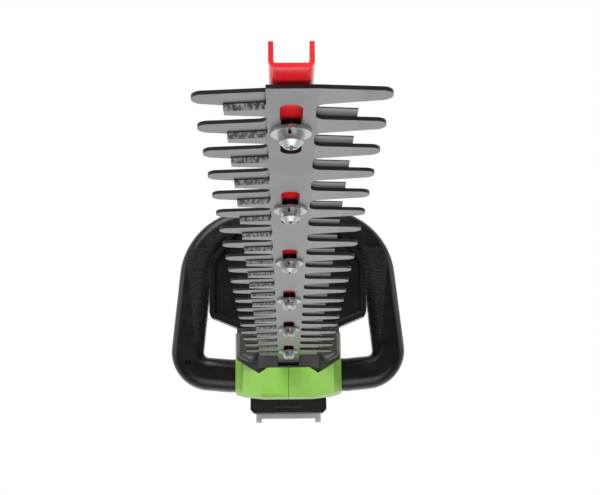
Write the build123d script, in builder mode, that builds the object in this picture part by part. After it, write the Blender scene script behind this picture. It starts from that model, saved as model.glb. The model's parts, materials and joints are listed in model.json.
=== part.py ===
"""Cordless hedge trimmer: twin reciprocating blades, gear case, motor, loop handle, rear grip and battery.

Frame: +Z up, the blades point along -Y. The sub-parts are drawn about the crank axis and written about the
foot of the chin, so that the origin lies in the middle of that flat foot. Millimetres.
"""
import os
from math import cos, pi, sin

from build123d import *

os.makedirs("parts", exist_ok=True)

# A solid that grows up or down from the place where it is put
UPWARD = (Align.CENTER, Align.CENTER, Align.MIN)
DOWNWARD = (Align.CENTER, Align.CENTER, Align.MAX)

# Where the flat foot of the chin lies, as drawn about the crank axis
FOOT_Y = -41.0
FOOT_Z = 6.5

# Running clearances
SLIDE_GAP = 0.2
SHAFT_FIT = 0.05
FIT_GAP = 0.3
RUN_GAP = 1.5
SCREW_FIT = 0.07
CUT_MARGIN = 1.0

# Blades
TOOTH_PITCH = 33.0
TOOTH_COUNT = 20
BLADE_THICKNESS = 1.8
BLADE_BODY_HALF = 10.25
FINGER_REACH = 40.75
FINGER_TIP_RADIUS = 5.1
FINGER_ROOT_WIDTH = 17.0
FINGER_SKEW = 1.0
CUTTER_REACH = 28.0
CUTTER_END_WIDTH = 10.0
CUTTER_ROOT_WIDTH = 14.0
BEVEL_WIDTH = 4.5
REAR_BEVEL_WIDTH = 1.2
BEVEL_LAND = 0.35
BEVEL_OVERSHOOT = 0.6
GULLET_RADIUS = 4.5
CUTTER_GULLET_RADIUS = 1.5
BLADE_PHASE = 3.92
BLADE_Z = 42.0
FIRST_TOOTH_Y = -737.0
SLOT_WIDTH = 9.6
SLOT_LENGTH = 60.0

# Blade fasteners
SCREW_COUNT = 6
SCREW_SPACING = 116.9
FIRST_SCREW_OFFSET = 34.8
FIRST_SCREW_Y = FIRST_TOOTH_Y + FIRST_SCREW_OFFSET
SCREW_RADIUS = 3.0
BUSH_RADIUS = 4.4
WASHER_RADIUS = 9.0
WASHER_THICKNESS = 1.6
LOCK_WASHER_RADIUS = 5.9
LOCK_WASHER_THICKNESS = 1.6
LOCK_WASHER_SPLIT = 1.2
LOCK_SPLIT_OFFSET = 4.4
LOCK_SPLIT_ANGLE = 65.0
SHANK_PROUD = 1.0
HEAD_RADIUS = 5.4
HEAD_HEIGHT = 4.4
HEAD_BEVEL = 2.2
HEAD_RECESS_RADIUS = 2.6
HEAD_RECESS_WIDTH = 1.3
HEAD_RECESS_DEPTH = 2.0
NUT_ACROSS_FLATS = 10.0
NUT_HEIGHT = 6.0

# Support bar, a channel that opens upwards, and its clamp screws
BAR_WIDTH = 18.0
BAR_SHEET = 2.0
BAR_HEIGHT = 11.0
BAR_OVERHANG = 22.5
BAR_BEND_RADIUS = 3.0
BAR_REAR_Y = -39.0
BAR_SCREW_RADIUS = 2.5
BAR_SCREW_STATIONS = (-90.0, -60.0)

# Crank and gears
CRANK_THROW = 8.25
ECCENTRIC_RADIUS = 12.0
CRANK_SHAFT_RADIUS = 5.0
YOKE_PLAY = 1.9
YOKE_WALL = 6.0
GEAR_MODULE = 1.0
GEAR_TEETH = 54
PINION_TEETH = 12
GEAR_WIDTH = 8.0
GEAR_Z = 51.0
GEAR_HOLE_COUNT = 6
GEAR_HOLE_RADIUS = 5.5
TOOTH_BACKLASH = 0.12
GEAR_DEDENDUM = 1.25
TOOTH_ROOT_SHARE = 0.36
TOOTH_PITCH_SHARE = 0.25
TOOTH_TIP_SHARE = 0.11
GEAR_HOLE_CIRCLE = 15.7
BEARING_OUTER_RADIUS = 11.0
BEARING_WIDTH = 7.0
UPPER_BEARING_WIDTH = 5.0
MOTOR_BEARING_RADIUS = 8.0

# Motor
MOTOR_RADIUS = 25.0
CAN_WALL = 1.6
CAN_VENT_COUNT = 8
CAN_VENT_WIDTH = 7.0
STATOR_Z = 72.0
STATOR_LENGTH = 34.0
STATOR_BORE_RADIUS = 14.5
STATOR_POLE_COUNT = 6
STATOR_SLOT_OFFSET = 3.0
STATOR_SLOT_LENGTH = 7.0
STATOR_SLOT_WIDTH = 4.0
ROTOR_RADIUS = 14.0
ROTOR_SLOT_COUNT = 12
ROTOR_SLOT_LENGTH = 8.4
ROTOR_SLOT_WIDTH = 1.6
ROTOR_SHAFT_RADIUS = 3.0
FAN_Z = 109.0
FAN_RADIUS = 22.0
FAN_HEIGHT = 8.0
FAN_DISC = 1.6
FAN_BLADE_COUNT = 9
FAN_BLADE_CIRCLE = 15.0
FAN_BLADE_LENGTH = 13.2
FAN_BLADE_ANGLE = 25.0
MOTOR_TOP_Z = 119.0

# Gear case
CASE_HALF_WIDTH = 36.0
CASE_FRONT_Y = -38.0
CASE_REAR_Y = 48.0
CASE_WALL = 4.0
CASE_CORNER = 6.0
CASE_BOTTOM_Z = 30.0
CASE_FLOOR_Z = 40.0
CASE_SPLIT_Z = 47.5
CASE_TOP_Z = 68.0
CASE_LID = 6.0
CASE_SCREW_RADIUS = 2.0
CASE_SCREW_HEAD = 3.6
CASE_SCREW_DEPTH = 12.0
CASE_SCREW_PLACES = [(-32.0, -33.0), (32.0, -33.0), (-32.0, 43.0), (32.0, 43.0)]
TONGUE_FRONT_Y = -104.0
TONGUE_HALF_WIDTH = 5.9
TONGUE_TOP_Z = 56.0

# Front housing and bumper
HOUSING_FRONT_Y = -52.0
HOUSING_REAR_Y = 58.0
HOUSING_HALF_WIDTH = 55.0
HOUSING_TOP_Z = 78.0
CHIN_HALF_WIDTH = 27.0
CHIN_TOP_Z = 36.0
CHIN_EDGE = 3.0
CHIN_FOOT_HALF = 24.0
CHIN_FOOT_REAR_Y = -32.0
TAIL_RISE_Z = 26.0
FACET_HALF_WIDTH = 46.0
FACET_Y = -36.0
SHOULDER_Y = -10.0
SIDE_FOLD_X = 44.0
SIDE_FOLD_Z = 11.0
SIDE_RISE_Z = 18.5
CHIN_TOP_HALF = 21.0
NOTCH_HALF = 29.5
NOTCH_Z = 30.5
MOUTH_HALF_WIDTH = 52.0
MOUTH_SIDE_Z = 46.0
MOUTH_BLADE_Z = 39.0
MOUTH_BLADE_HALF = 11.0
MOUTH_DEPTH = 60.0
BUMPER_FRONT_Y = -50.0
PAD_HALF_WIDTH = 30.5
PAD_TOP_Z = 48.5
PAD_DEPTH = 6.0
LOBE_INNER = 31.0
LOBE_LOW_Z = 38.0
LOBE_SIDE_Z = 48.0
LOBE_TOP_Z = 76.0
LOBE_DEPTH = 8.0
LOBE_CORNER = 8.0
LOBE_ROUND = 6.5
HOUSING_SCREW_PLACES = [(-25.0, 18.0), (35.0, 22.0), (53.0, 66.0)]
HOUSING_SCREW_RADIUS = 2.0
HOUSING_SCREW_HEAD = 4.0
SCREW_SINK = 14.0
SCREW_BITE = 20.0

# Loop handle
LOOP_PLANE_Y = 22.0
LOOP_BOTTOM_Z = 38.5
LOOP_TOP_Z = 205.0
LOOP_BEND_X = 62.0
LOOP_CORNER_Z = 43.0
LOOP_BOTTOM_HALF = 109.5
LOOP_TOP_HALF = 94.5
LOOP_TUBE_WIDTH = 34.0
LOOP_TUBE_DEPTH = 30.0
LOOP_TUBE_ROUND = 11.0
LOOP_BEND_RADIUS = 40.0
LOOP_BOTTOM_RADIUS = 24.0
LOOP_TOP_RADIUS = 62.0
SOCKET_DEPTH = 9.0
LOOP_SCREW_PLACES = [(-105.5, 51.0), (0.0, LOOP_TOP_Z)]
LOOP_SCREW_RADIUS = 1.8
LOOP_SCREW_HEAD = 3.4
LOOP_SCREW_SINK = 5.0

# Hand guard
GUARD_FRONT_Y = -36.0
GUARD_BACK_Y = -26.0
GUARD_THICKNESS = 3.0
GUARD_RIM = 5.0
GUARD_TAPER = 20.0
GUARD_CORNER = 8.0
GUARD_BOTTOM_Z = HOUSING_TOP_Z
GUARD_FOOT_HALF = 48.0
GUARD_HALF_WIDTH = 81.0
GUARD_LOW_Z = 92.0
GUARD_WIDE_Z = 150.0
GUARD_NOTCH_HALF = 63.0
GUARD_NOTCH_Z = 177.5
GUARD_TOP_HALF = 55.0
GUARD_TOP_Z = 188.0
GUARD_SCREW_PLACES = [(-25.0, 98.0), (25.0, 98.0)]
GUARD_SCREW_RADIUS = 2.0
GUARD_SCREW_BITE = 12.0

# Rear body: side profiles as (y, z)
BODY_HALF_WIDTH = 43.0
TOWER_HALF_WIDTH = 36.0
TOWER_REAR_Y = 84.0
TOWER_ROUND = 10.0
TOWER_PROFILE = [(-26, 78), (-26, 112), (-12, 142), (14, 156), (60, 160), (84, 158), (88, 78)]
GRIP_HALF_WIDTH = 18.0
GRIP_ROUND = 8.0
GRIP_BEND = 10.0
GRIP_ROUND_Y = 100.0
GRIP_FOOT_RISE = 3.0
GRIP_PROFILE = [
    (70, 156), (84, 158), (205, 154), (240, 134), (252, 96), (252, 80), (226, 80),
    (220, 108), (200, 124), (108, 131), (92, 122), (86, 102), (70, 102),
]
PLATFORM_Z = 70.0
PLATFORM_TOP_Z = 86.0
PLATFORM_PROFILE = [(58, 70), (58, 86), (226, 86), (252, 82), (252, 70)]
BELLY_Z = 34.0
BELLY_HALF_WIDTH = 30.0
BAY_WALL_Y = 101.0
BAY_WALL_THICKNESS = 13.0
BAY_WALL_BOTTOM_Z = 7.5
BAY_CHAMFER = 4.0
RAIL_Z = 57.0
RAIL_LIP = 4.4
RAIL_GAP = 0.6
RAIL_OUTER = 33.0
RAIL_REAR_Y = 246.0
LOUVRE_COUNT = 6
LOUVRE_PITCH = 7.0
LOUVRE_WIDTH = 3.0
LOUVRE_HEIGHT = 26.0
LOUVRE_DEPTH = 4.0
LOUVRE_Z = 112.0

# Trigger, lock button and electrics
TRIGGER_PROFILE = [(98, 142), (148, 137), (148, 131), (128, 122), (110, 118), (99, 128)]
TRIGGER_HALF_WIDTH = 7.0
TRIGGER_SIDE_GAP = 0.6
TRIGGER_ROUND = 3.0
TRIGGER_PIN_Y = 102.0
TRIGGER_PIN_Z = 139.0
TRIGGER_PIN_RADIUS = 1.8
TRIGGER_PIN_HALF = 12.0
TRIGGER_EYE_RADIUS = 3.6
TRIGGER_BAY_FRONT_Y = 94.0
TRIGGER_BAY_REAR_Y = 154.0
TRIGGER_BAY_TOP_Z = 147.0
TRIGGER_BAY_DEPTH = 40.0
TRIGGER_SPRING_Y = 140.0
TRIGGER_SPRING_Z = 138.2
SPRING_RADIUS = 3.0
SPRING_WIRE = 0.8
SWITCH_FRONT_Y = 158.0
SWITCH_REAR_Y = 184.0
SWITCH_BOTTOM_Z = 133.0
SWITCH_TOP_Z = 148.0
SWITCH_HALF_WIDTH = 8.0
LOCK_Y = 122.0
LOCK_LENGTH = 22.0
LOCK_HALF_WIDTH = 8.0
LOCK_BAY_Z = 149.0
LOCK_BAY_DEPTH = 20.0
LOCK_BOTTOM_Z = 154.2
LOCK_HEIGHT = 8.5
LOCK_ROUND = 2.5
BOARD_FRONT_Y = 64.0
BOARD_REAR_Y = 97.0
BOARD_HALF_WIDTH = 26.0
BOARD_BAY_Z = 44.0
BOARD_BAY_HEIGHT = 24.0
BOARD_THICKNESS = 1.6
BOARD_MARGIN = 1.0
CHIP_COUNT = 3
CHIP_PITCH = 13.0
CHIP_SIDE = 8.6
CHIP_HEIGHT = 6.0
TERMINAL_REAR_Y = 122.0
TERMINAL_HALF_WIDTH = 18.0
TERMINAL_HEIGHT = 9.0

# Battery pack
PACK_FRONT_Y = 117.0
PACK_REAR_Y = 268.0
PACK_HALF_WIDTH = 37.0
PACK_SPLIT_Z = 24.0
PACK_FLOOR_Z = 17.5
PACK_TAIL_Z = 17.5
PACK_WALL = 2.5
PACK_CORNER = 5.0
PACK_ROUND = 3.0
PACK_TOP_Z = 69.0
SHOULDER_Z = 56.0
HEAD_Z = 62.0
HEAD_FRONT_Y = 123.0
NECK_HALF_WIDTH = 20.0
HEAD_HALF_WIDTH = 26.0
FOOT_INNER = 31.0
FOOT_HEIGHT = 3.0
FOOT_LENGTH = 23.0
CELL_RADIUS = 9.2
CELL_GAP = 0.1
CELL_ROWS = 2
CELL_LENGTH = 66.0
CELL_COUNT = 5
CELL_PITCH = 24.0
CELL_BAY_REAR_Y = 247.0
CELL_TOP_Z = 54.5
CONTACT_PLACES = (-12.0, -4.0, 4.0, 12.0)
CONTACT_WIDTH = 2.4
CONTACT_DEPTH = 6.0
CONTACT_HEIGHT = 4.0
LATCH_FRONT_Y = 253.0
LATCH_REAR_Y = 266.0
LATCH_HALF_WIDTH = 13.0
LATCH_BAY_Z = 48.0
LATCH_Z = 52.5
LATCH_HEIGHT = 6.5
LATCH_ROUND = 1.25

# Levels and stations that follow from the sizes above
UPPER_BLADE_Z = BLADE_Z + BLADE_THICKNESS + SLIDE_GAP
BAR_Z = UPPER_BLADE_Z + BLADE_THICKNESS + SLIDE_GAP
WASHER_TOP_Z = BLADE_Z - SLIDE_GAP
HEAD_TOP_Z = WASHER_TOP_Z - WASHER_THICKNESS - LOCK_WASHER_THICKNESS
NUT_Z = BAR_Z + BAR_SHEET
SCREW_STATIONS = [FIRST_SCREW_Y + i * SCREW_SPACING for i in range(SCREW_COUNT)]
GEAR_RADIUS = GEAR_MODULE * GEAR_TEETH / 2
PINION_RADIUS = GEAR_MODULE * PINION_TEETH / 2
MOTOR_Y = GEAR_RADIUS + PINION_RADIUS
YOKE_SLOT_LENGTH = 2 * (ECCENTRIC_RADIUS + YOKE_PLAY)
YOKE_SLOT_WIDTH = 2 * (ECCENTRIC_RADIUS + CRANK_THROW + FIT_GAP)
YOKE_HALF_LENGTH = YOKE_SLOT_LENGTH / 2 + YOKE_WALL
YOKE_HALF_WIDTH = YOKE_SLOT_WIDTH / 2 + YOKE_WALL
CAVITY_HALF_WIDTH = YOKE_HALF_WIDTH + RUN_GAP
CAVITY_HALF_LENGTH = YOKE_HALF_LENGTH + CRANK_THROW + RUN_GAP
BAY_REAR_Y = BAY_WALL_Y + BAY_WALL_THICKNESS
CELL_LEVELS = [PACK_FLOOR_Z + CELL_GAP + CELL_RADIUS * (2 * i + 1) for i in range(CELL_ROWS)]


def save(builder, name):
    """Shift one finished sub-part to the foot of the chin, label it and write it to its own file."""
    placed = builder.part.moved(Location((0, -FOOT_Y, -FOOT_Z)))
    placed.label = name
    export_step(placed, f"parts/{name}.step")


def gullet(root_width, end_width, reach, skew, side, radius):
    """The gap between two neighbouring teeth, from the blade body out past their ends."""
    with BuildSketch() as gap:
        with BuildLine():
            Polyline(
                (side * BLADE_BODY_HALF, -(TOOTH_PITCH - root_width) / 2),
                (side * reach, -(TOOTH_PITCH - end_width) / 2 - skew),
                (side * reach, (TOOTH_PITCH - end_width) / 2 - skew),
                (side * BLADE_BODY_HALF, (TOOTH_PITCH - root_width) / 2),
                close=True,
            )
        make_face()
        fillet(gap.vertices().filter_by(lambda v: abs(v.X) < BLADE_BODY_HALF + RUN_GAP), radius)
    return gap.sketch


def grinder(side, shear_z, outer_z):
    """The metal ground off both edges of one cutter along +X or -X: wide in front, narrow behind."""
    land_z = shear_z + (BEVEL_LAND if outer_z > shear_z else -BEVEL_LAND)
    start = BLADE_BODY_HALF + BEVEL_OVERSHOOT
    slope = (CUTTER_ROOT_WIDTH - CUTTER_END_WIDTH) / 2 / (CUTTER_REACH - BLADE_BODY_HALF)
    with BuildPart() as stone:
        for way, width in ((1, REAR_BEVEL_WIDTH), (-1, BEVEL_WIDTH)):
            for x in (start, CUTTER_REACH + BEVEL_OVERSHOOT):
                edge = way * (CUTTER_ROOT_WIDTH / 2 - slope * (x - BLADE_BODY_HALF))
                with BuildSketch(Plane.YZ.offset(side * x)):
                    with BuildLine():
                        Polyline(
                            (edge - way * width, outer_z),
                            (edge + way * BEVEL_OVERSHOOT, land_z),
                            (edge + way * BEVEL_OVERSHOOT, 2 * outer_z - land_z),
                            close=True,
                        )
                    make_face()
            loft()
    return stone.part


def blade(z, finger_side, bevel_up, phase):
    """One blade: blunt fingers on finger_side (+1 is +X), cutters on the other, slots and a driving yoke."""
    tip_centre = FINGER_REACH - FINGER_TIP_RADIUS
    tips = [FIRST_TOOTH_Y + phase + i * TOOTH_PITCH for i in range(TOOTH_COUNT)]
    roots = [y + FINGER_SKEW for y in tips]
    cutters = [y + TOOTH_PITCH / 2 for y in tips]
    front = roots[0] - FINGER_ROOT_WIDTH / 2
    rear = cutters[-1] + CUTTER_ROOT_WIDTH / 2
    finger_gap = gullet(
        FINGER_ROOT_WIDTH, 2 * FINGER_TIP_RADIUS, tip_centre, FINGER_SKEW, finger_side, GULLET_RADIUS)
    cutter_gap = gullet(
        CUTTER_ROOT_WIDTH, CUTTER_END_WIDTH, CUTTER_REACH, 0, -finger_side, CUTTER_GULLET_RADIUS)
    outer_z = z + BLADE_THICKNESS if bevel_up else z
    shear_z = z if bevel_up else z + BLADE_THICKNESS
    stone = grinder(-finger_side, shear_z, outer_z)
    with BuildPart() as body:
        with BuildSketch(Plane.XY.offset(z)):
            with Locations((finger_side * tip_centre / 2, (front + rear) / 2)):
                Rectangle(tip_centre, rear - front)
            with Locations((-finger_side * CUTTER_REACH / 2, (front + rear) / 2)):
                Rectangle(CUTTER_REACH, rear - front)
            with Locations(*[(0, y + TOOTH_PITCH / 2) for y in roots]):
                add(finger_gap, mode=Mode.SUBTRACT)
            with Locations(*[(0, y) for y in tips]):
                add(cutter_gap, mode=Mode.SUBTRACT)
            # The foremost finger tapers to its tip as the others do
            with BuildLine():
                Polyline(
                    (finger_side * BLADE_BODY_HALF, front),
                    (finger_side * tip_centre, tips[0] - FINGER_TIP_RADIUS),
                    (finger_side * tip_centre, front),
                    close=True,
                )
            make_face(mode=Mode.SUBTRACT)
            with Locations(*[(finger_side * tip_centre, y) for y in tips]):
                Circle(FINGER_TIP_RADIUS)
            # Plain shank back to the yoke
            with Locations((0, (rear - YOKE_HALF_LENGTH) / 2)):
                Rectangle(2 * BLADE_BODY_HALF, -YOKE_HALF_LENGTH - rear + YOKE_WALL)
            RectangleRounded(2 * YOKE_HALF_WIDTH, 2 * YOKE_HALF_LENGTH, YOKE_WALL)
            RectangleRounded(YOKE_SLOT_WIDTH, YOKE_SLOT_LENGTH, YOKE_PLAY, mode=Mode.SUBTRACT)
            with Locations(*[Location((0, y), 90) for y in SCREW_STATIONS]):
                SlotOverall(SLOT_LENGTH, SLOT_WIDTH, mode=Mode.SUBTRACT)
        extrude(amount=BLADE_THICKNESS)
        with Locations(*[(0, y, 0) for y in cutters]):
            add(stone, mode=Mode.SUBTRACT)
    return body


blade_lower = blade(BLADE_Z, 1, False, -BLADE_PHASE)
save(blade_lower, "blade_lower")
blade_upper = blade(UPPER_BLADE_Z, -1, True, BLADE_PHASE)
save(blade_upper, "blade_upper")


def station(y):
    """A plane square to the blades at the given y, with x to the right and z up."""
    return Plane.XZ.offset(-y)


def gear_outline(teeth, turn):
    """The outline points of a spur gear, with trapezoid flanks thinned by the backlash."""
    pitch_radius = GEAR_MODULE * teeth / 2
    step = 2 * pi / teeth
    rows = (
        (pitch_radius - GEAR_DEDENDUM * GEAR_MODULE, TOOTH_ROOT_SHARE),
        (pitch_radius, TOOTH_PITCH_SHARE - TOOTH_BACKLASH / (GEAR_MODULE * pi)),
        (pitch_radius + GEAR_MODULE, TOOTH_TIP_SHARE),
    )
    points = []
    for i in range(teeth):
        middle = turn + i * step
        flank = [(r, middle - share * step) for r, share in rows]
        flank += [(r, middle + share * step) for r, share in reversed(rows)]
        points += [(r * cos(a), r * sin(a)) for r, a in flank]
    return points


# Channel bar over the blades, with its screw holes
bar_front_y = FIRST_TOOTH_Y - BAR_OVERHANG
with BuildPart() as support_bar:
    with BuildSketch(station(bar_front_y)) as channel:
        with Locations((0, BAR_Z + BAR_HEIGHT / 2)):
            Rectangle(BAR_WIDTH, BAR_HEIGHT)
        fillet(channel.vertices().group_by(Axis.Y)[0], BAR_BEND_RADIUS)
        with BuildSketch(mode=Mode.PRIVATE) as trough:
            with Locations((0, BAR_Z + BAR_SHEET + BAR_HEIGHT / 2)):
                Rectangle(BAR_WIDTH - 2 * BAR_SHEET, BAR_HEIGHT)
            fillet(trough.vertices().group_by(Axis.Y)[0], BAR_BEND_RADIUS - BAR_SHEET)
        add(trough.sketch, mode=Mode.SUBTRACT)
    extrude(amount=-(BAR_REAR_Y - bar_front_y))
    with Locations(*[(0, y, BAR_Z) for y in SCREW_STATIONS]):
        Cylinder(SCREW_RADIUS + SLIDE_GAP, 3 * BAR_SHEET, mode=Mode.SUBTRACT)
    with Locations(*[(0, y, BAR_Z) for y in BAR_SCREW_STATIONS]):
        Cylinder(BAR_SCREW_RADIUS, 3 * BAR_SHEET, mode=Mode.SUBTRACT)
save(support_bar, "support_bar")

# Six guide screws, each with a flat washer, a spring washer, a bush and a nut
shank_top = NUT_Z + NUT_HEIGHT + SHANK_PROUD
with BuildPart() as blade_screw:
    with Locations((0, 0, HEAD_TOP_Z)):
        Cylinder(HEAD_RADIUS, HEAD_HEIGHT, align=DOWNWARD)
    chamfer(blade_screw.edges().group_by(Axis.Z)[0], HEAD_BEVEL)
    with Locations((0, 0, HEAD_TOP_Z)):
        Cylinder(SCREW_RADIUS, shank_top - HEAD_TOP_Z, align=UPWARD)
    with BuildSketch(Plane.XY.offset(HEAD_TOP_Z - HEAD_HEIGHT)):
        for angle in (0, 90):
            Rectangle(2 * HEAD_RECESS_RADIUS, HEAD_RECESS_WIDTH, rotation=angle)
    extrude(amount=HEAD_RECESS_DEPTH, mode=Mode.SUBTRACT)
with BuildPart() as blade_screws:
    with Locations(*[(0, y, 0) for y in SCREW_STATIONS]):
        add(blade_screw.part)
save(blade_screws, "blade_screws")

with BuildPart() as blade_flat_washers:
    with BuildSketch(Plane.XY.offset(WASHER_TOP_Z - WASHER_THICKNESS)):
        with Locations(*[(0, y) for y in SCREW_STATIONS]):
            Circle(WASHER_RADIUS)
            Circle(SCREW_RADIUS + SLIDE_GAP, mode=Mode.SUBTRACT)
    extrude(amount=WASHER_THICKNESS)
save(blade_flat_washers, "blade_flat_washers")

with BuildPart() as blade_spring_washers:
    with BuildSketch(Plane.XY.offset(HEAD_TOP_Z)):
        with Locations(*[(0, y) for y in SCREW_STATIONS]):
            Circle(LOCK_WASHER_RADIUS)
            Circle(SCREW_RADIUS + SLIDE_GAP, mode=Mode.SUBTRACT)
        with Locations(*[Location((0, y - LOCK_SPLIT_OFFSET), LOCK_SPLIT_ANGLE) for y in SCREW_STATIONS]):
            Rectangle(LOCK_WASHER_RADIUS, LOCK_WASHER_SPLIT, mode=Mode.SUBTRACT)
    extrude(amount=LOCK_WASHER_THICKNESS)
save(blade_spring_washers, "blade_spring_washers")

with BuildPart() as blade_bushes:
    with BuildSketch(Plane.XY.offset(WASHER_TOP_Z)):
        with Locations(*[(0, y) for y in SCREW_STATIONS]):
            Circle(BUSH_RADIUS)
            Circle(SCREW_RADIUS + SLIDE_GAP, mode=Mode.SUBTRACT)
    extrude(amount=BAR_Z - WASHER_TOP_Z)
save(blade_bushes, "blade_bushes")

with BuildPart() as blade_nuts:
    with BuildSketch(Plane.XY.offset(NUT_Z)):
        with Locations(*[(0, y) for y in SCREW_STATIONS]):
            RegularPolygon(NUT_ACROSS_FLATS / 2, 6, major_radius=False)
            Circle(SCREW_RADIUS + SLIDE_GAP, mode=Mode.SUBTRACT)
    extrude(amount=NUT_HEIGHT)
save(blade_nuts, "blade_nuts")

# Gear case in two halves around the yokes and the gears
case_length = CASE_REAR_Y - CASE_FRONT_Y
case_middle = (CASE_REAR_Y + CASE_FRONT_Y) / 2
with BuildPart() as gear_case_lower:
    with BuildSketch(Plane.XY.offset(CASE_BOTTOM_Z)):
        with Locations((0, case_middle)):
            RectangleRounded(2 * CASE_HALF_WIDTH, case_length, CASE_CORNER)
    extrude(amount=CASE_SPLIT_Z - CASE_BOTTOM_Z)
    with BuildSketch(Plane.XY.offset(CASE_FLOOR_Z)):
        RectangleRounded(2 * CAVITY_HALF_WIDTH, 2 * CAVITY_HALF_LENGTH, YOKE_WALL)
        with Locations((0, CASE_FRONT_Y)):
            Rectangle(2 * (BLADE_BODY_HALF + FIT_GAP), 2 * (-CASE_FRONT_Y - CAVITY_HALF_LENGTH + CUT_MARGIN))
    extrude(amount=CASE_SPLIT_Z - CASE_FLOOR_Z, mode=Mode.SUBTRACT)
    with BuildSketch(Plane.XY.offset(CASE_FLOOR_Z)):
        Circle(BEARING_OUTER_RADIUS)
    extrude(amount=-BEARING_WIDTH, mode=Mode.SUBTRACT)
    with Locations(*[(x, y, CASE_SPLIT_Z) for x, y in CASE_SCREW_PLACES]):
        Cylinder(CASE_SCREW_RADIUS, 2 * CASE_SCREW_DEPTH, mode=Mode.SUBTRACT)
save(gear_case_lower, "gear_case_lower")

with BuildPart() as gear_case_upper:
    with BuildSketch(Plane.XY.offset(CASE_SPLIT_Z)):
        with Locations((0, case_middle)):
            RectangleRounded(2 * CASE_HALF_WIDTH, case_length, CASE_CORNER)
    extrude(amount=CASE_TOP_Z - CASE_SPLIT_Z)
    with BuildSketch(Plane.XY.offset(CASE_SPLIT_Z)):
        Circle(GEAR_RADIUS + GEAR_MODULE + RUN_GAP)
        with Locations((0, MOTOR_Y)):
            Circle(PINION_RADIUS + GEAR_MODULE + RUN_GAP)
    extrude(amount=GEAR_Z + GEAR_WIDTH + RUN_GAP - CASE_SPLIT_Z, mode=Mode.SUBTRACT)
    with BuildSketch(Plane.XY.offset(GEAR_Z + GEAR_WIDTH + RUN_GAP)):
        Circle(BEARING_OUTER_RADIUS)
        with Locations((0, MOTOR_Y)):
            Circle(MOTOR_BEARING_RADIUS)
    extrude(amount=UPPER_BEARING_WIDTH, mode=Mode.SUBTRACT)
    with Locations((0, MOTOR_Y, CASE_TOP_Z)):
        Cylinder(ROTOR_SHAFT_RADIUS + RUN_GAP, 4 * CASE_LID, mode=Mode.SUBTRACT)
    # Tongue that the channel bar is clamped to
    with BuildSketch(station(TONGUE_FRONT_Y)):
        with Locations((0, (NUT_Z + TONGUE_TOP_Z) / 2)):
            Rectangle(2 * TONGUE_HALF_WIDTH, TONGUE_TOP_Z - NUT_Z)
    extrude(amount=-(CASE_FRONT_Y - TONGUE_FRONT_Y + CASE_WALL))
    with Locations(*[(0, y, TONGUE_TOP_Z) for y in BAR_SCREW_STATIONS]):
        Cylinder(BAR_SCREW_RADIUS, 4 * BAR_HEIGHT, mode=Mode.SUBTRACT)
    with Locations(*[(x, y, CASE_TOP_Z) for x, y in CASE_SCREW_PLACES]):
        CounterBoreHole(CASE_SCREW_RADIUS, CASE_SCREW_HEAD, CASE_SCREW_HEAD)
save(gear_case_upper, "gear_case_upper")

with BuildPart() as gear_case_screws:
    with Locations(*[(x, y, CASE_SPLIT_Z - CASE_SCREW_DEPTH) for x, y in CASE_SCREW_PLACES]):
        Cylinder(CASE_SCREW_RADIUS - SCREW_FIT,
                 CASE_TOP_Z - CASE_SPLIT_Z + CASE_SCREW_DEPTH - CASE_SCREW_HEAD, align=UPWARD)
    with Locations(*[(x, y, CASE_TOP_Z - CASE_SCREW_HEAD) for x, y in CASE_SCREW_PLACES]):
        Cylinder(CASE_SCREW_HEAD - FIT_GAP, CASE_SCREW_HEAD - FIT_GAP, align=UPWARD)
save(gear_case_screws, "gear_case_screws")

with BuildPart() as bar_screws:
    with Locations(*[(0, y, BAR_Z) for y in BAR_SCREW_STATIONS]):
        Cylinder(BAR_SCREW_RADIUS - SCREW_FIT, TONGUE_TOP_Z - BAR_Z, align=UPWARD)
    with Locations(*[(0, y, TONGUE_TOP_Z) for y in BAR_SCREW_STATIONS]):
        Cylinder(2 * BAR_SCREW_RADIUS, BAR_SCREW_RADIUS, align=UPWARD)
save(bar_screws, "bar_screws")


def bearing(outer, inner, width, x, y, z):
    """A sealed ball bearing, as one ring."""
    with BuildPart() as race:
        with Locations((x, y, z)):
            Cylinder(outer, width, align=UPWARD)
            Cylinder(inner, width, align=UPWARD, mode=Mode.SUBTRACT)
    return race


upper_bearing_z = GEAR_Z + GEAR_WIDTH + RUN_GAP
crank_bearing_lower = bearing(
    BEARING_OUTER_RADIUS, CRANK_SHAFT_RADIUS + SHAFT_FIT, BEARING_WIDTH, 0, 0, CASE_FLOOR_Z - BEARING_WIDTH)
save(crank_bearing_lower, "crank_bearing_lower")
crank_bearing_upper = bearing(
    BEARING_OUTER_RADIUS, CRANK_SHAFT_RADIUS + SHAFT_FIT, UPPER_BEARING_WIDTH, 0, 0, upper_bearing_z)
save(crank_bearing_upper, "crank_bearing_upper")
motor_bearing_lower = bearing(
    MOTOR_BEARING_RADIUS, ROTOR_SHAFT_RADIUS + SHAFT_FIT, UPPER_BEARING_WIDTH, 0, MOTOR_Y, upper_bearing_z)
save(motor_bearing_lower, "motor_bearing_lower")
motor_bearing_upper = bearing(
    MOTOR_BEARING_RADIUS, ROTOR_SHAFT_RADIUS + SHAFT_FIT, UPPER_BEARING_WIDTH, 0, MOTOR_Y, MOTOR_TOP_Z)
save(motor_bearing_upper, "motor_bearing_upper")

# Crankshaft with two eccentrics set opposite each other
with BuildPart() as crank_shaft:
    with Locations((0, 0, CASE_FLOOR_Z - BEARING_WIDTH + FIT_GAP)):
        Cylinder(CRANK_SHAFT_RADIUS,
                 upper_bearing_z + UPPER_BEARING_WIDTH - CASE_FLOOR_Z + BEARING_WIDTH - FIT_GAP,
                 align=UPWARD)
    for side, z in ((1, BLADE_Z), (-1, UPPER_BLADE_Z)):
        with Locations((side * CRANK_THROW, 0, z + BLADE_THICKNESS / 2)):
            Cylinder(ECCENTRIC_RADIUS, BLADE_THICKNESS)
save(crank_shaft, "crank_shaft")

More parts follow.
